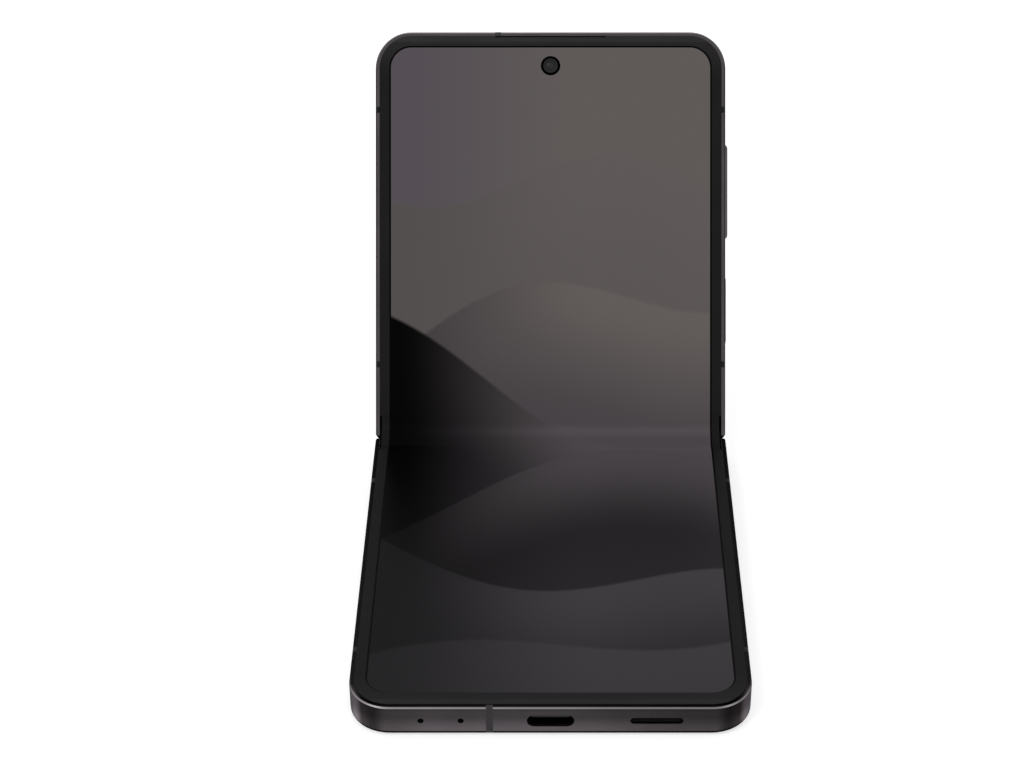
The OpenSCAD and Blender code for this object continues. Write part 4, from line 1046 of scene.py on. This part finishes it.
def addBezel():
    look = bezelLook
    long = 2 * (foldY - look["end"])
    middle = (0, foldY, look["top"] - look["thick"] / 2)
    rim = addPlate("bezelFlat", (2 * look["outer"], long, look["thick"]), middle)
    roundCorners(rim, look["outerRound"])
    near, far = foldY - screenLook["openNear"], foldY + screenLook["openFar"]
    side = screenLook["openX"]
    hole = plateBetween("bezelHole", (-side, near, rimZ - mm), (side, far, rimZ + mm))
    roundCorners(hole, look["innerRound"])
    cutAway(rim, hole)
    for side in (-1, 1):
        place = (side * look["outer"], foldY, middle[2])
        cutAway(rim, addPlate("bezelNotch", (2 * look["notch"], 2 * look["notchReach"], 2 * mm), place))
    low, high = flatBox("earpiece_mesh")
    slit = foldY - look["end"] + foldY - look["slit"]
    cutAway(rim, plateBetween("slitTool", (low.x, slit, rimZ - mm), (high.x, slit + 2 * look["slit"], rimZ + mm)))
    for side in (-1, 1):
        for end in (-1, 1):
            place = (side * look["stubX"], foldY + end * look["stubY"], look["top"] - mm / 10 + look["stubProud"])
            stub = roundCorners(addPlate("bezelStub", (*look["stubSize"], mm / 5), place), look["stubSize"][0] / 2.1)
            applyModifier(rim, "BOOLEAN", operation="UNION", object=stub, solver="EXACT")
            bpy.data.objects.remove(stub)
    softenEdges(rim, look["edge"], 3, 60)
    addRows(rim, lowerAxis.y - bendZone["reach"] * 1.2, foldY, bendZone["rows"])
    addRows(rim, foldY, upperAxisFlat.y + bendZone["reach"] * 1.2, bendZone["rows"])
    return rim


bezelPair = foldPair(
    addBezel(), "bezelLower", "bezelUpper", ["lower_bezel"], ["upper_bezel", "bezel_fold_strips"],
    12,
)
bezelHueAndPaintedLight = {
    # painted light and shade: sides and ends of the lower and of the upper half, darker along the sides and on the
    # lower half
    "side": (0.0095, 0.0140),
    "end": (0.0150, 0.0250),
    "endEdgeHighlight": 1.45,  # painted highlight: the outer edge of both ends is brighter
    "hue": (1.0, 0.95, 1.0),
}


def bezelMaterial():
    material, tree, shader = grained(
        "softBezel", bezelHueAndPaintedLight["hue"], 0.5, 0, 0.09, 0.12, 0.06, 0.004, uv=True, Specular_IOR_Level=0.04
    )
    uv = addNode(tree, "ShaderNodeUVMap", uv_map="flatMap").outputs[0]
    along = calc(tree, "SUBTRACT", addNode(tree, "ShaderNodeSeparateXYZ", {0: uv}).outputs[1], 0.5)
    # painted light and shade: darker along the sides and on the lower half
    side = fade(tree, along, -0.1, 0.1, *bezelHueAndPaintedLight["side"])
    end = fade(tree, along, -0.1, 0.1, *bezelHueAndPaintedLight["end"])
    atEnd = fade(tree, calc(tree, "ABSOLUTE", along), 0.44, 0.49)
    links = {0: atEnd, 2: side, 3: end}
    tone = addNode(tree, "ShaderNodeMix", links).outputs[0]
    # painted highlight along the outer edge of both ends
    endEdgeHighlight = fade(tree, calc(tree, "ABSOLUTE", along), 0.4865, 0.4885, 1, bezelHueAndPaintedLight["endEdgeHighlight"])
    tone = calc(tree, "MULTIPLY", tone, endEdgeHighlight)
    plain = shader.inputs["Base Color"].links[0].from_socket
    feed(tree, shader, "Base Color", tint(tree, plain, tone))
    return material


softBezel = bezelMaterial()
for piece in bezelPair:
    coat(piece, softBezel)

# Dark seal at the hinge ends, set back in the slit between bezel and frame.

sealLook = {"inner": 34.66 * mm, "outer": 35.12 * mm, "long": 4.9 * mm, "top": -0.3 * mm, "thick": 0.25 * mm}


def addSeal():
    look = sealLook
    wide = look["outer"] - look["inner"]
    place = ((look["inner"] + look["outer"]) / 2, foldY, rimZ + look["top"] - look["thick"] / 2)
    seal = addPlate("sealFlat", (wide, 2 * look["long"], look["thick"]), place)
    softenEdges(seal, 0.05 * mm, 2, 60)
    other = copyOf(seal, "sealOther")
    for vertex in other.data.vertices:
        vertex.co.x -= 2 * place[0]
    pick(seal, other)
    bpy.ops.object.join()
    addRows(seal, foldY - look["long"], foldY, bendZone["rows"])
    addRows(seal, foldY, foldY + look["long"], bendZone["rows"])
    return seal


sealPair = foldPair(addSeal(), "hingeSealLower", "hingeSealUpper", [], [])
sealRubber = grained("sealRubber", (0.002, 0.002, 0.002), 0.7, 0, 0.1, 0.2, 0.05, 0.003, uv=True,
                     Specular_IOR_Level=0.02)[0]
for piece in sealPair:
    coat(piece, sealRubber)
print("bezels done")

# Flex cables: two ribbons that bend with the screen, under it.

flexLook = {
    "start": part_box("hinge_flex_cables")[1].x - 7 * mm,
    "stop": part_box("hinge_flex_cables")[1].x,
    "reach": 13 * mm,
    "top": -2.7 * mm,
    "thick": 0.15 * mm,
    "corner": 0.6 * mm,
    "pad": 1.8 * mm,  # stiffened ends
}


def addFlex():
    look = flexLook
    z = rimZ + look["top"]
    ribbon = plateBetween(
        "flexFlat", (look["start"], foldY - look["reach"], z - look["thick"]),
        (look["stop"], foldY + look["reach"], z),
    )
    roundCorners(ribbon, look["corner"], steps=5)
    for end in (-1, 1):
        selectFaces(ribbon, lambda place, way: True)
        bpy.ops.mesh.bisect(plane_co=(0, foldY + end * (look["reach"] - look["pad"]), 0), plane_no=(0, 1, 0))
    addRows(ribbon, lowerAxis.y - bendZone["reach"] * 1.2, foldY, bendZone["rows"])
    addRows(ribbon, foldY, upperAxisFlat.y + bendZone["reach"] * 1.2, bendZone["rows"])
    other = copyOf(ribbon, "flexOther")
    for vertex in other.data.vertices:
        vertex.co.x -= look["start"] + look["stop"]
    pick(ribbon, other)
    bpy.ops.object.join()
    return ribbon


def flexMaterial():
    # Amber film with copper tracks along it and stiffened ends.
    material, tree, shader = grained("flexAmber", (0.34, 0.15, 0.03), 0.35, 0, 0.4, 0.25, 0.08, 0.01, uv=True)
    parts = addNode(tree, "ShaderNodeSeparateXYZ", {0: placeOn(tree, uv=True)}).outputs
    wave = calc(tree, "SINE", calc(tree, "MULTIPLY", parts[0], 2 * pi / 0.5))
    plain = shader.inputs["Base Color"].links[0].from_socket
    tracks = mixColour(tree, fade(tree, wave, 0.1, 0.5, 0, 0.7), plain, (0.55, 0.24, 0.07))
    away = calc(tree, "ABSOLUTE", calc(tree, "SUBTRACT", parts[1], halfLong / mm))
    pad = fade(tree, away, (flexLook["reach"] - flexLook["pad"]) / mm - 0.05, (flexLook["reach"] - flexLook["pad"]) / mm)
    feed(tree, shader, "Base Color", mixColour(tree, pad, tracks, (0.16, 0.09, 0.03)))
    return material


flexPair = foldPair(addFlex(), "flexCableLower", "flexCableUpper", [], [])
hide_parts("hinge_flex_cables")
flexAmber = flexMaterial()
for piece in flexPair:
    coat(piece, flexAmber)
print("flex cables done")

# Floor, backdrop, lamps and camera

stageLook = {"floor": (0.82, 0.82, 0.82), "lift": 0.55, "worldLight": 0.55}


def addStage():
    pick()
    bpy.ops.mesh.primitive_plane_add(size=6, location=(0, 0, cadBox[0][2] - 0.02 * mm))
    floor = settle(bpy.context.object, "floor")
    material, tree, shader = newMaterial("paleFloor", stageLook["floor"], 0.9)
    shader.inputs["Specular IOR Level"].default_value = 0
    path = addNode(tree, "ShaderNodeLightPath").outputs
    seen = calc(tree, "MAXIMUM", path["Is Camera Ray"], calc(
        tree, "MAXIMUM", path["Is Glossy Ray"], path["Is Transmission Ray"]))
    lift = addNode(tree, "ShaderNodeEmission", {"Color": (1, 1, 1, 1)})
    tree.links.new(calc(tree, "MULTIPLY", seen, stageLook["lift"]), lift.inputs["Strength"])
    both = addNode(tree, "ShaderNodeAddShader", {0: shader.outputs[0], 1: lift.outputs[0]})
    tree.links.new(both.outputs[0], tree.nodes["Material Output"].inputs["Surface"])
    coat(floor, material)


def addWorld():
    world = bpy.data.worlds.new("studio")
    bpy.context.scene.world = world
    world.use_nodes = True
    tree = world.node_tree
    path = addNode(tree, "ShaderNodeLightPath").outputs
    seen = calc(tree, "MAXIMUM", path["Is Camera Ray"], calc(
        tree, "MAXIMUM", path["Is Glossy Ray"], path["Is Transmission Ray"]))
    sky = tree.nodes["Background"]
    sky.inputs["Color"].default_value = (1, 1, 1, 1)
    tree.links.new(fade(tree, seen, 0, 1, stageLook["worldLight"], 1.0), sky.inputs["Strength"])


lamps = {
    # place, size, power: each aims at the phone
    "keyLamp": ((-0.45, -0.35, 0.75), 0.4, 1.6),
    "fillLamp": ((0.6, -0.5, 0.45), 0.4, 0.8),
    "backLamp": ((0.0, 0.7, 0.6), 0.4, 1.0),
}


def aimAt(obj, target):
    way = Vector(target) - obj.location
    obj.rotation_euler = way.to_track_quat("-Z", "Y").to_euler()


def addLamps():
    for name, (place, size, power) in lamps.items():
        light = bpy.data.lights.new(name, "AREA")
        light.size = size
        light.energy = power
        lamp = bpy.data.objects.new(name, light)
        bpy.context.scene.collection.objects.link(lamp)
        lamp.location = place
        aimAt(lamp, (0, 0.03, 0.02))


shot = {
    "target": (0, 0.04718, 0.01589),
    "elevation": 33.46,
    "distance": 0.478,
    "lens": 81.63,
    "shiftX": -0.03765,
}


def addCamera():
    camera = bpy.data.cameras.new("shot")
    camera.lens = shot["lens"]
    camera.sensor_width = 36
    camera.shift_x = shot["shiftX"]
    camera.clip_start = 0.01
    holder = bpy.data.objects.new("shot", camera)
    bpy.context.scene.collection.objects.link(holder)
    up = radians(shot["elevation"])
    holder.location = Vector(shot["target"]) + shot["distance"] * Vector((0, -cos(up), sin(up)))
    aimAt(holder, shot["target"])
    bpy.context.scene.camera = holder


addStage()
addWorld()
addLamps()
addCamera()
bpy.context.scene.view_settings.view_transform = "Standard"
print("stage done")
